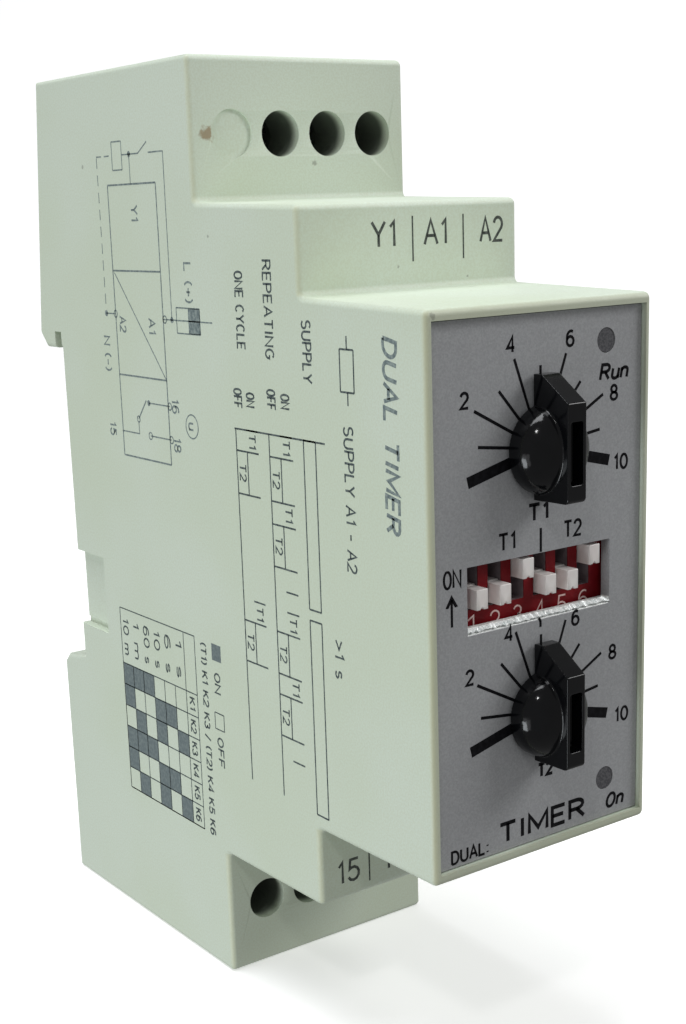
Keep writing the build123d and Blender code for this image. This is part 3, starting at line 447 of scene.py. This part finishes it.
class Prints:
    """Thin closed marks on one surface, gathered in one mesh."""

    def __init__(self, surface):
        self.surface = surface
        self.mesh = bmesh.new()

    def polygon(self, points):
        """A flat plate of ink with this outline, given in mm on the surface."""
        lift = self.surface.normal * INK
        upper = [self.mesh.verts.new(self.surface.point(u, v) + lift) for u, v in points]
        lower = [self.mesh.verts.new(self.surface.point(u, v) - lift) for u, v in points]
        self.mesh.faces.new(upper)
        self.mesh.faces.new(list(reversed(lower)))
        for i in range(len(points)):
            j = (i + 1) % len(points)
            self.mesh.faces.new((lower[i], lower[j], upper[j], upper[i]))

    def line(self, start, end, width):
        start, end = Vector(start), Vector(end)
        along = (end - start).normalized()
        side = Vector((along.y, -along.x)) * width / 2
        self.polygon([start + side, end + side, end - side, start - side])

    def dashes(self, start, end, width, count):
        start, end = Vector(start), Vector(end)
        for i in range(count):
            self.line(start.lerp(end, i / count), start.lerp(end, (i + 0.62) / count), width)

    def frame(self, low_u, high_u, low_v, high_v, width):
        corners = [(low_u, low_v), (high_u, low_v), (high_u, high_v), (low_u, high_v)]
        for i in range(4):
            self.line(corners[i], corners[(i + 1) % 4], width)

    def block(self, low_u, high_u, low_v, high_v):
        self.polygon([(low_u, low_v), (high_u, low_v), (high_u, high_v), (low_u, high_v)])

    def ring(self, centre, radius, width, steps=20):
        for i in range(steps):
            a, b = (2 * math.pi * k / steps for k in (i, i + 1))
            start = (centre[0] + radius * math.cos(a), centre[1] + radius * math.sin(a))
            end = (centre[0] + radius * math.cos(b), centre[1] + radius * math.sin(b))
            self.line(start, end, width)

    def dot(self, centre, radius, steps=14):
        angles = [2 * math.pi * k / steps for k in range(steps)]
        self.polygon([(centre[0] + radius * math.cos(a), centre[1] + radius * math.sin(a)) for a in angles])

    def ribbon(self, points, width):
        """A closed strip of ink of even width along a line of points."""
        points = [Vector(p) for p in points]
        sides = []
        for i, here in enumerate(points):
            before = (here - points[i - 1]).normalized() if i else None
            after = (points[i + 1] - here).normalized() if i + 1 < len(points) else None
            before, after = before or after, after or before
            along = (before + after).normalized()
            reach = width / 2 / max(along.dot(before), 0.5)
            side = Vector((along.y, -along.x)) * reach
            sides.append((here + side, here - side))
        self.polygon([pair[0] for pair in sides] + [pair[1] for pair in reversed(sides)])

    def text(self, words, centre, height, length=None, weight=0.16, turn=0.0, slant=0.0):
        """Words centred on a point; height, length and weight of line in mm, turn in degrees."""
        strokes, pen = [], 0.0
        for letter in words:
            advance, shapes = LETTERS[letter]
            strokes += [[(pen + x, y) for x, y in shape] for shape in shapes]
            pen += advance + LETTER_GAP
        pen -= LETTER_GAP
        tall = (height - weight) / LETTER_TOP
        wide = (length - weight) / pen if length else tall
        angle = math.radians(turn)
        for shape in strokes:
            points = []
            for x, y in shape:
                v = (y - LETTER_TOP / 2) * tall
                u = (x - pen / 2) * wide + v * slant
                across = u * math.cos(angle) - v * math.sin(angle)
                points.append((centre[0] + self.surface.flip * across,
                               centre[1] + u * math.sin(angle) + v * math.cos(angle)))
            self.ribbon(points, weight)

    def finish(self, name, material, body="housing"):
        data = bpy.data.meshes.new(name)
        bmesh.ops.recalc_face_normals(self.mesh, faces=self.mesh.faces)
        self.mesh.to_mesh(data)
        self.mesh.free()
        return add_piece(name, data, material, body)


# ---------------------------------------------------------------------------
# Plain lettering: for each character its width and its strokes, on a grid 6 high
# ---------------------------------------------------------------------------
LETTER_TOP = 6
LETTER_GAP = 1.4


def bow(centre_x, centre_y, radius_x, radius_y, start, stop, steps=8):
    """Points along part of an ellipse, angles in degrees."""
    angles = [math.radians(start + (stop - start) * i / steps) for i in range(steps + 1)]
    return [(centre_x + radius_x * math.cos(a), centre_y + radius_y * math.sin(a)) for a in angles]


ROUND = bow(1.9, 3, 1.9, 3, 90, 450, 16)
LETTERS = {
    " ": (1.6, []),
    "0": (3.6, [bow(1.8, 3, 1.8, 3, 90, 450, 16)]),
    "1": (2.0, [[(0.2, 4.7), (1.4, 6), (1.4, 0)]]),
    "2": (3.6, [bow(1.8, 4.3, 1.7, 1.7, 170, -35, 8) + [(0, 0), (3.6, 0)]]),
    "3": (3.6, [bow(1.7, 4.5, 1.5, 1.5, 160, -90, 7), bow(1.7, 1.6, 1.9, 1.6, 90, -165, 8)]),
    "4": (3.8, [[(2.8, 0), (2.8, 6), (0, 1.7), (3.8, 1.7)]]),
    "5": (3.6, [[(3.4, 6), (0.7, 6), (0.4, 3.3)] + bow(1.7, 1.9, 1.9, 1.9, 110, -155, 8)]),
    "6": (3.6, [bow(1.8, 1.9, 1.8, 1.9, 150, -210, 12), [(0.1, 2.4)] + bow(2.2, 3.4, 2.1, 2.6, 175, 60, 5)]),
    "8": (3.6, [bow(1.8, 4.5, 1.5, 1.5, -90, 270, 12), bow(1.8, 1.55, 1.8, 1.55, 90, 450, 12)]),
    "A": (4.2, [[(0, 0), (2.1, 6), (4.2, 0)], [(0.8, 2.1), (3.4, 2.1)]]),
    "C": (3.9, [bow(2.0, 3, 1.9, 3, 48, 312, 12)]),
    "D": (3.9, [[(0, 0), (0, 6)] + bow(1.5, 3, 2.3, 3, 90, -90, 9) + [(0, 0)]]),
    "E": (3.3, [[(3.3, 6), (0, 6), (0, 0), (3.3, 0)], [(0, 3.1), (2.9, 3.1)]]),
    "F": (3.2, [[(3.2, 6), (0, 6), (0, 0)], [(0, 3.0), (2.8, 3.0)]]),
    "G": (4.1, [bow(2.1, 3, 2.0, 3, 48, 330, 12) + [(4.0, 2.8), (2.5, 2.8)]]),
    "I": (0.8, [[(0.4, 0), (0.4, 6)]]),
    "K": (3.8, [[(0, 0), (0, 6)], [(3.6, 6), (0, 2.4)], [(1.3, 3.5), (3.8, 0)]]),
    "L": (3.1, [[(0, 6), (0, 0), (3.1, 0)]]),
    "M": (4.6, [[(0, 0), (0, 6), (2.3, 1.2), (4.6, 6), (4.6, 0)]]),
    "N": (3.9, [[(0, 0), (0, 6), (3.9, 0), (3.9, 6)]]),
    "O": (3.8, [ROUND]),
    "P": (3.5, [[(0, 0), (0, 6), (1.9, 6)] + bow(1.9, 4.4, 1.6, 1.6, 80, -90, 6) + [(0, 2.8)]]),
    "R": (3.8, [[(0, 0), (0, 6), (1.9, 6)] + bow(1.9, 4.5, 1.6, 1.5, 80, -90, 6) + [(0, 3.0)],
                [(1.8, 3.0), (3.8, 0)]]),
    "S": (3.6, [bow(1.8, 4.5, 1.6, 1.5, 35, 240, 8) + bow(1.8, 1.6, 1.7, 1.6, 60, -150, 8)]),
    "T": (3.8, [[(0, 6), (3.8, 6)], [(1.9, 6), (1.9, 0)]]),
    "U": (3.8, [[(0, 6)] + bow(1.9, 1.9, 1.9, 1.9, 180, 360, 8) + [(3.8, 6)]]),
    "W": (5.4, [[(0, 6), (1.3, 0), (2.7, 5.4), (4.1, 0), (5.4, 6)]]),
    "Y": (4.0, [[(0, 6), (2.0, 2.9), (4.0, 6)], [(2.0, 2.9), (2.0, 0)]]),
    "m": (4.6, [[(0, 0), (0, 4)], [(0, 3)] + bow(1.15, 2.9, 1.15, 1.1, 160, 0, 5) + [(2.3, 0)],
                [(2.3, 3)] + bow(3.45, 2.9, 1.15, 1.1, 160, 0, 5) + [(4.6, 0)]]),
    "n": (2.7, [[(0, 0), (0, 4.1)], [(0, 2.8)] + bow(1.35, 2.8, 1.35, 1.3, 160, 0, 6) + [(2.7, 0)]]),
    "s": (2.6, [bow(1.3, 3.0, 1.1, 1.0, 30, 250, 6) + bow(1.3, 1.05, 1.2, 1.05, 70, -150, 6)]),
    "u": (2.7, [[(0, 4.1)] + bow(1.35, 1.35, 1.35, 1.35, 180, 360, 8) + [(2.7, 4.1)],
                [(2.7, 1.4), (2.7, 0)]]),
    "(": (1.3, [bow(2.6, 3, 2.3, 3.9, 120, 240, 6)]),
    ")": (1.3, [bow(-1.3, 3, 2.3, 3.9, 60, -60, 6)]),
    "+": (3.2, [[(0, 2.8), (3.2, 2.8)], [(1.6, 1.2), (1.6, 4.4)]]),
    "-": (2.4, [[(0, 2.7), (2.4, 2.7)]]),
    "/": (2.4, [[(0, -0.4), (2.4, 6.4)]]),
    ">": (3.2, [[(0, 4.8), (3.2, 2.8), (0, 0.8)]]),
    ":": (0.8, [[(0.4, 0.3), (0.4, 0.9)], [(0.4, 3.4), (0.4, 4.0)]]),
}

FRONT = Surface((0, PLATE_Y, 0), (1, 0, 0), (0, 0, 1), (0, -1, 0))
SHELF = Surface((0, SHELF_Y, 0), (1, 0, 0), (0, 0, 1), (0, -1, 0))
BLOCK = Surface((0, SWITCH_Y, 0), (1, 0, 0), (0, 0, 1), (0, -1, 0))
# on the left side the first number is the depth behind the front face
SIDE = Surface((LEFT_X, FRONT_Y, 0), (0, 1, 0), (0, 0, 1), (-1, 0, 0))


# ---------------------------------------------------------------------------
# Print on the front plate
# ---------------------------------------------------------------------------
DIAL_SWEEP = 103.5         # degrees either side of straight up
SCALE_STEPS = 10
SCALE_INNER = 3.4          # where every mark starts, as a distance from the dial's centre
SCALE_SHORT = 6.8          # where the unnumbered marks stop
SCALE_LONG = 8.05          # where the numbered marks stop
SCALE_END = 8.1            # where the two thick end marks stop
MARK_WIDTH = 0.26
END_MARK_WIDTH = 0.95
DIAL_NUMBERS = {
    1: {2: (-8.1, 16.1), 4: (-3.2, 20.1), 6: (3.3, 20.1), 8: (8.4, 15.2), 10: (9.3, 9.2)},
    2: {2: (-7.9, -6.6), 4: (-3.6, -3.7), 6: (4.0, -3.7), 8: (8.5, -7.6), 10: (9.7, -13.6)},
}


def dial_scale(prints, number):
    centre_x, centre_z = (c / MM for c in dial_centre(number))
    for step in range(SCALE_STEPS + 1):
        angle = math.radians(-DIAL_SWEEP + 2 * DIAL_SWEEP * step / SCALE_STEPS)
        end_mark = step in (0, SCALE_STEPS)
        outer = SCALE_END if end_mark else (SCALE_LONG if step % 2 == 0 else SCALE_SHORT)
        width = END_MARK_WIDTH if end_mark else MARK_WIDTH
        reach = [(centre_x + r * math.sin(angle), centre_z + r * math.cos(angle))
                 for r in (SCALE_INNER, outer)]
        prints.line(reach[0], reach[1], width)
    for value, place_at in DIAL_NUMBERS[number].items():
        prints.text(str(value), place_at, 1.45, 1.75 if value == 10 else 1.0, 0.24)


plate_prints = Prints(FRONT)
dial_scale(plate_prints, 1)
dial_scale(plate_prints, 2)
plate_prints.text("T1", (-3.7, 4.15), 1.55, 2.05, 0.24)
plate_prints.text("T2", (3.65, 4.2), 1.55, 2.15, 0.24)
plate_prints.text("T1", (-0.2, 6.15), 1.6, 2.5, 0.3)
plate_prints.text("T2", (0.5, -16.55), 1.4, 1.9, 0.3)
plate_prints.text("ON", (-9.6, 1.95), 1.6, 1.95, 0.22)
plate_prints.text("Run", (8.45, 17.0), 1.5, 3.4, 0.28, slant=0.22)
plate_prints.text("On", (9.0, -21.45), 1.5, 2.3, 0.28, slant=0.22)
plate_prints.text("TIMER", (0.2, -21.2), 2.0, 10.2, 0.36)
plate_prints.text("DUAL:", (-8.1, -21.9), 1.3, 4.2, 0.22)
plate_prints.line((0.0, 2.72), (0.0, 4.75), 0.25)
plate_prints.line((-0.2, -2.95), (-0.05, -3.3), 0.25)
plate_prints.line((-0.05, -3.25), (-0.05, -3.75), 0.25)
plate_prints.line((-9.7, -2.0), (-9.7, 0.3), 0.24)
plate_prints.polygon([(-10.35, -0.35), (-9.7, 0.7), (-9.05, -0.35),
                      (-9.35, -0.4), (-9.7, 0.15), (-10.05, -0.4)])
plate_prints.finish("plate_prints", INK_BLACK)

block_prints = Prints(BLOCK)
for switch in SWITCHES:
    low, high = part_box(f"switch_slider_{switch}")
    block_prints.text(str(switch), ((low.x + high.x) / 2 / MM, -2.72), 1.7, 1.15, 0.15)
block_prints.finish("switch_numbers", INK_WHITE)

# ---------------------------------------------------------------------------
# Print on the shelves beside the terminals
# ---------------------------------------------------------------------------
shelf_prints = Prints(SHELF)
for label, x in (("Y1", -2.9), ("A1", 2.9), ("A2", 9.4)):
    shelf_prints.text(label, (x - 0.2, 28.75), 2.35, 2.9, 0.27)
for x in (0.05, 5.85):
    shelf_prints.line((x, 26.3), (x, 30.2), 0.16)
for label, x in (("15", -9.1), ("16", -3.7), ("18", 1.7)):
    shelf_prints.text(label, (x, -28.95), 2.35, 2.6, 0.27)
for x in (-6.7, -1.3, 4.1):
    shelf_prints.line((x, -30.6), (x, -27.0), 0.16)
shelf_prints.finish("shelf_prints", INK_GREY)

# ---------------------------------------------------------------------------
# Wiring diagram, timing chart and switch table on the left side
# ---------------------------------------------------------------------------
SIDE_TURN = -90.0          # side labels read downwards


def side_text(prints, words, centre, height, length, weight=0.19, slant=0.0):
    """Text on the left side, turned to read downwards."""
    prints.text(words, centre, height, length, weight, SIDE_TURN, slant)


def wiring_diagram(prints):
    fine, line = 0.13, 0.17
    prints.frame(40.1, 49.8, 7.0, 34.0, line)
    prints.line((40.1, 25.7), (49.8, 25.7), line)
    prints.line((40.1, 15.3), (49.8, 15.3), line)
    prints.line((49.5, 25.5), (40.2, 15.4), fine)
    prints.dashes((51.8, 36.7), (51.8, 21.7), fine, 9)
    prints.dashes((51.8, 36.8), (48.5, 36.8), fine, 2)
    prints.frame(46.5, 48.5, 35.4, 38.1, fine)
    prints.line((46.5, 36.8), (43.2, 36.8), fine)
    prints.dot((45.0, 36.8), 0.3)
    prints.line((43.2, 36.8), (41.4, 37.8), fine)
    prints.line((41.2, 36.8), (38.4, 36.8), fine)
    prints.line((38.4, 36.8), (38.4, 21.4), fine)
    prints.line((45.0, 36.8), (45.0, 34.0), fine)
    prints.line((51.8, 21.4), (49.8, 21.4), fine)
    prints.dot((51.8, 21.4), 0.32)
    prints.ring((49.8, 21.4), 0.35, fine)
    prints.line((40.1, 21.2), (31.0, 21.2), fine)
    prints.ring((39.8, 21.2), 0.35, fine)
    prints.dot((38.4, 21.2), 0.3)
    prints.frame(33.2, 37.5, 20.0, 22.4, fine)
    prints.block(33.2, 35.3, 20.0, 22.4)
    prints.line((44.0, 12.8), (39.8, 12.8), fine)
    prints.dot((44.0, 12.8), 0.3)
    prints.line((44.0, 9.5), (39.8, 9.5), fine)
    prints.ring((44.0, 9.5), 0.35, fine)
    prints.ring((39.8, 12.8), 0.35, fine)
    prints.ring((39.8, 9.5), 0.35, fine)
    prints.line((46.3, 11.0), (44.5, 13.0), line)
    prints.ring((46.3, 11.0), 0.3, fine)
    prints.line((49.8, 9.5), (46.3, 9.5), fine)
    prints.line((46.3, 9.5), (46.3, 10.7), fine)
    prints.ring((35.7, 11.2), 1.15, fine)
    labels = [
        ("Y1", (44.6, 31.2), 1.7), ("A1", (42.4, 20.4), 1.7), ("A2", (48.4, 20.4), 1.7),
        ("16", (38.7, 12.9), 1.5), ("18", (38.7, 9.1), 1.5), ("15", (52.0, 9.5), 1.5),
        ("L", (35.0, 26.2), 0.9), ("N", (52.1, 18.6), 1.0), ("u", (35.7, 11.2), 0.8),
        ("(+)", (35.0, 23.9), 2.2), ("(-)", (52.1, 16.4), 2.0),
    ]
    for words, centre, length in labels:
        side_text(prints, words, centre, 1.4, length)


def pulse(prints, base, tip, from_z, to_z, width):
    """One step of a timing chart, from the base line up to tip and back."""
    prints.line((base, from_z), (tip, from_z), width)
    prints.line((tip, from_z), (tip, to_z), width)
    prints.line((tip, to_z), (base, to_z), width)


def timing_chart(prints):
    """Supply bar, then the pulses of the repeating and of the single cycle."""
    line = 0.16
    repeat_base, repeat_tip, repeat_tick = 22.3, 20.5, 18.6
    once_base, once_tip, once_tick = 27.8, 26.0, 24.1
    prints.line((13.7, 11.8), (28.0, 11.8), line)
    for top, bottom in ((11.8, -3.2), (-4.2, -22.5)):
        prints.frame(15.1, 16.9, bottom, top, line)
    prints.line((repeat_base, 11.8), (repeat_base, -22.3), line)
    on_spans = [(9.8, 5.8), (3.7, -0.2), (-6.3, -10.3), (-12.3, -16.3)]
    for top, bottom in on_spans:
        pulse(prints, repeat_base, repeat_tip, top, bottom, line)
    for tick in (11.8, 9.8, 5.8, 3.7, -0.2, -2.3, -4.2, -6.3, -10.3, -12.3, -16.3, -18.4):
        prints.line((repeat_tick, tick), (repeat_tip, tick), line)
    prints.line((once_base, 11.8), (once_base, -22.3), line)
    for top, bottom in ((9.8, 5.8), (-6.3, -10.3)):
        pulse(prints, once_base, once_tip, top, bottom, line)
    for tick in (11.8, 9.8, 5.8, -4.2, -6.3, -10.3):
        prints.line((once_tick, tick), (once_tip, tick), line)
    for depth, marks in ((19.6, (10.8, 4.8, -5.3, -11.3)), (25.1, (10.8, -5.3))):
        for z in marks:
            side_text(prints, "T1", (depth, z), 1.2, 1.5, 0.17)
    for depth, marks in ((21.4, (7.8, 1.8, -8.3, -14.3)), (26.9, (7.8, -8.3))):
        for z in marks:
            side_text(prints, "T2", (depth, z), 1.2, 1.7, 0.17)
    headings = [
        ("ONE CYCLE", (26.2, 22.5), 7.0), ("ON", (25.1, 14.6), 1.4), ("OFF", (27.2, 14.6), 1.9),
        ("REPEATING", (21.6, 22.7), 8.6), ("ON", (19.5, 14.9), 1.4), ("OFF", (21.7, 14.9), 1.9),
        ("SUPPLY", (15.9, 19.4), 5.4), ("SUPPLY A1 - A2", (10.3, 7.4), 12.5), (">1 s", (12.6, -6.9), 3.6),
    ]
    for words, centre, length in headings:
        side_text(prints, words, centre, 1.45, length)
    prints.frame(9.3, 11.2, 16.4, 19.9, line)
    prints.line((10.2, 16.4), (10.2, 15.3), line)
    prints.line((10.2, 19.9), (10.2, 21.0), line)


TABLE_LEFT = 53.3          # depth of the first column's far edge
TABLE_RIGHT = 39.8
TABLE_NUMBERS = 37.6       # depth of the near edge of the column of switch names
TABLE_HEAD = -10.0
TABLE_TOP = -16.2
TABLE_BOTTOM = -30.6
TABLE_SIZE = 6
DARK_CELLS = [(1, 2, 3), (1, 4, 5), (2, 4, 6)]   # columns, repeated down the rows


def switch_table(lines, blocks):
    """Which switches give which time range; lines and dark cells are separate pieces."""
    column = (TABLE_LEFT - TABLE_RIGHT) / TABLE_SIZE
    row = (TABLE_TOP - TABLE_BOTTOM) / TABLE_SIZE
    fine = 0.12
    for r in range(TABLE_SIZE):
        top = TABLE_TOP - row * r
        for c in DARK_CELLS[r % len(DARK_CELLS)]:
            left = TABLE_LEFT - column * (c - 1)
            blocks.block(left - column, left, top - row, top)
        side_text(lines, f"K{r + 1}", (38.7, top - row / 2), 1.15, 1.5)
    for k in range(TABLE_SIZE + 1):
        lines.line((TABLE_LEFT, TABLE_TOP - row * k), (TABLE_NUMBERS, TABLE_TOP - row * k), fine)
        lines.line((TABLE_LEFT - column * k, TABLE_TOP), (TABLE_LEFT - column * k, TABLE_BOTTOM), fine)
    lines.frame(TABLE_NUMBERS, TABLE_LEFT, TABLE_BOTTOM, TABLE_HEAD, fine)
    lines.line((TABLE_RIGHT, TABLE_HEAD), (TABLE_RIGHT, TABLE_TOP), fine)
    ranges = ["1 s", "6 s", "10 s", "60 s", "1 m", "10 m"]
    for k, words in enumerate(ranges):
        side_text(lines, words, (TABLE_RIGHT + column * (k + 0.5), -13.1), 1.3, 4.2)
    blocks.block(32.6, 34.3, -11.7, -10.0)
    lines.frame(32.6, 34.3, -18.8, -17.1, fine)
    side_text(lines, "ON", (33.5, -14.0), 1.2, 2.2)
    side_text(lines, "OFF", (33.5, -21.2), 1.2, 3.2)
    side_text(lines, "(T1) K1 K2 K3 / (T2) K4 K5 K6", (35.9, -20.5), 1.15, 20.5)


side_prints = Prints(SIDE)
side_blocks = Prints(SIDE)
faint_prints = Prints(SIDE)
wiring_diagram(faint_prints)
side_text(faint_prints, "DUAL TIMER", (4.5, 13.2), 2.0, 15.8, 0.34, 0.2)
timing_chart(side_prints)
switch_table(side_prints, side_blocks)
side_prints.finish("side_prints", INK_SIDE)
side_blocks.finish("side_print_blocks", INK_BLOCK)
faint_prints.finish("side_diagram", INK_FAINT)


# ---------------------------------------------------------------------------
# Knobs: the CAD shape with softly moulded edges
# ---------------------------------------------------------------------------
def soften(thing, voxel, passes):
    """Remeshes and smooths, which rounds every edge by about a voxel or two."""
    remesh = thing.modifiers.new("remesh", "REMESH")
    remesh.mode = "VOXEL"
    remesh.voxel_size = voxel
    remesh.use_smooth_shade = True
    smooth = thing.modifiers.new("smooth", "SMOOTH")
    smooth.factor = 0.5
    smooth.iterations = passes


def apply_modifiers(piece):
    graph = bpy.context.evaluated_depsgraph_get()
    data = bpy.data.meshes.new_from_object(piece.evaluated_get(graph))
    piece.modifiers.clear()
    piece.data = data


def moulded_copy(node, name, material, body, voxel, passes):
    copy = bpy.data.objects.new(name, NODES[node].data.copy())
    bpy.context.scene.collection.objects.link(copy)
    weld = copy.modifiers.new("weld", "WELD")
    weld.merge_threshold = WELD_REACH
    soften(copy, voxel, passes)
    bpy.context.view_layer.update()
    apply_modifiers(copy)
    paint(copy, material)
    for polygon in copy.data.polygons:
        polygon.use_smooth = True
    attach(copy, body)
    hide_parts(node)
    return copy


for number in (1, 2):
    knob = moulded_copy(f"knob_t{number}", f"knob_moulded_t{number}", KNOB, f"dial_t{number}", 0.07 * MM, 3)


# ---------------------------------------------------------------------------
# Worn, ragged lower edge of the switch window
# ---------------------------------------------------------------------------
def window_burr():
    """A strip of small white shreds along the bevel under the window."""
    draw = random.Random(11)
    shape = bmesh.new()
    steps = 90
    previous = None
    for i in range(steps + 1):
        x = WINDOW_LEFT + (WINDOW_RIGHT - WINDOW_LEFT) * i / steps
        upper = WINDOW_BOTTOM + draw.uniform(0.0, 0.18) * MM
        lower = WINDOW_BOTTOM - draw.uniform(0.22, 0.36) * MM
        upper_y = PLATE_Y + draw.uniform(0.30, 0.42) * MM
        ring = [
            shape.verts.new((x, upper_y - 0.09 * MM, upper)),
            shape.verts.new((x, PLATE_Y - draw.uniform(0.0, 0.05) * MM,
                             lower + draw.uniform(0.05, 0.14) * MM)),
            shape.verts.new((x, PLATE_Y + 0.02 * MM, lower)),
            shape.verts.new((x, upper_y + 0.06 * MM, upper - 0.12 * MM)),
        ]
        if previous:
            for a in range(4):
                b = (a + 1) % 4
                shape.faces.new((previous[a], previous[b], ring[b], ring[a]))
        else:
            shape.faces.new(list(reversed(ring)))
        previous = ring
    shape.faces.new(previous)
    bmesh.ops.recalc_face_normals(shape, faces=shape.faces)
    data = bpy.data.meshes.new("window_burr")
    shape.to_mesh(data)
    shape.free()
    return add_piece("window_burr", data, WORN_WHITE, "housing")


window_burr()


# ---------------------------------------------------------------------------
# Clip spring: a copy of the CAD spring in spring steel, fixed to the housing
# ---------------------------------------------------------------------------
spring = bpy.data.objects.new("clip_spring_strip", NODES["clip_spring"].data.copy())
bpy.context.scene.collection.objects.link(spring)
paint(spring, SPRING_STEEL)
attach(spring, "housing")
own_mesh(spring)
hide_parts("clip_spring")


# ---------------------------------------------------------------------------
# Floor, light and camera
# ---------------------------------------------------------------------------
def backdrop():
    """A floor that curves up into a wall behind the object."""
    floor_z = HOUSING_LOW.z
    near, far, rise, half = -0.6, 0.7, 0.5, 1.6
    radius, steps = 0.25, 12
    turn = -35.0
    profile = [(near, floor_z), (far - radius, floor_z)]
    for i in range(1, steps + 1):
        a = math.pi / 2 * i / steps
        profile.append((far - radius + radius * math.sin(a), floor_z + radius - radius * math.cos(a)))
    profile.append((far, floor_z + rise))
    shape = bmesh.new()
    rows = [[shape.verts.new((x, y, z)) for x in (-half, half)] for y, z in profile]
    for a, b in zip(rows, rows[1:]):
        shape.faces.new((a[0], a[1], b[1], b[0]))
    data = bpy.data.meshes.new("backdrop")
    shape.to_mesh(data)
    shape.free()
    for polygon in data.polygons:
        polygon.use_smooth = True
    floor = bpy.data.objects.new("backdrop", data)
    bpy.context.scene.collection.objects.link(floor)
    floor.rotation_euler.z = math.radians(turn)
    floor.visible_diffuse = False
    floor.visible_shadow = False
    floor.visible_glossy = False
    material, tree, shader = new_material("backdrop_paper", 0.9, specular=0.1)
    tone = blend(tree, spread(tree, noise(tree, 8, 2.0), 0.3, 0.7), (0.88, 0.88, 0.875), (0.90, 0.90, 0.895))
    tree.links.new(tone, shader.inputs["Base Color"])
    shader.inputs["Emission Color"].default_value = (1.0, 1.0, 1.0, 1.0)
    shader.inputs["Emission Strength"].default_value = 0.35
    paint(floor, material)


def area_light(name, location, target, size, power, colour=(1, 1, 1)):
    """A rectangular light; places and sizes in metres, power in watts."""
    data = bpy.data.lights.new(name, "AREA")
    data.shape = "RECTANGLE"
    data.size, data.size_y = size
    data.energy = power
    data.color = colour
    light = bpy.data.objects.new(name, data)
    light.location = location
    light.rotation_euler = (Vector(target) - Vector(location)).to_track_quat("-Z", "Y").to_euler()
    bpy.context.scene.collection.objects.link(light)


def camera():
    """Stands to the left of the front and a little above, as the object is usually seen."""
    location = Vector((-86.2, -154.6, 31.2)) * MM
    target = Vector((-5.6, -40.0, -2.4)) * MM
    roll = -1.97
    data = bpy.data.cameras.new("camera")
    data.lens = 54.16
    data.sensor_width = 36.0
    data.shift_x = 0.0111
    data.shift_y = 0.063
    data.clip_start = 0.01
    eye = bpy.data.objects.new("camera", data)
    turn = (target - location).to_track_quat("-Z", "Y").to_matrix().to_4x4()
    eye.matrix_world = Matrix.Translation(location) @ turn @ Matrix.Rotation(math.radians(roll), 4, "Z")
    bpy.context.scene.collection.objects.link(eye)
    bpy.context.scene.camera = eye


backdrop()
area_light("top", (-0.10, 0.05, 0.70), (0, -0.03, 0), (0.40, 0.40), 3.8, (0.95, 0.97, 1.0))
area_light("left", (-0.60, -0.16, -0.20), (0, -0.03, -0.05), (0.30, 0.30), 0.30, (0.98, 0.99, 1.0))
area_light("right_fill", (0.66, -0.46, 0.52), (0, -0.03, 0), (0.4, 0.4), 4.0)
area_light("low_left", (-0.36, -0.05, -0.16), (-0.012, -0.02, -0.03), (0.15, 0.15), 0.56, (0.90, 0.96, 1.0))
area_light("sparkle", (-0.46, -0.42, 0.66), (0, -0.03, 0), (0.07, 0.07), 0.8)
camera()

world = bpy.data.worlds.new("studio")
world.use_nodes = True
world.node_tree.nodes["Background"].inputs["Color"].default_value = (1.0, 1.0, 1.0, 1.0)
world.node_tree.nodes["Background"].inputs["Strength"].default_value = 0.28
bpy.context.scene.world = world
bpy.context.scene.view_settings.view_transform = "Standard"
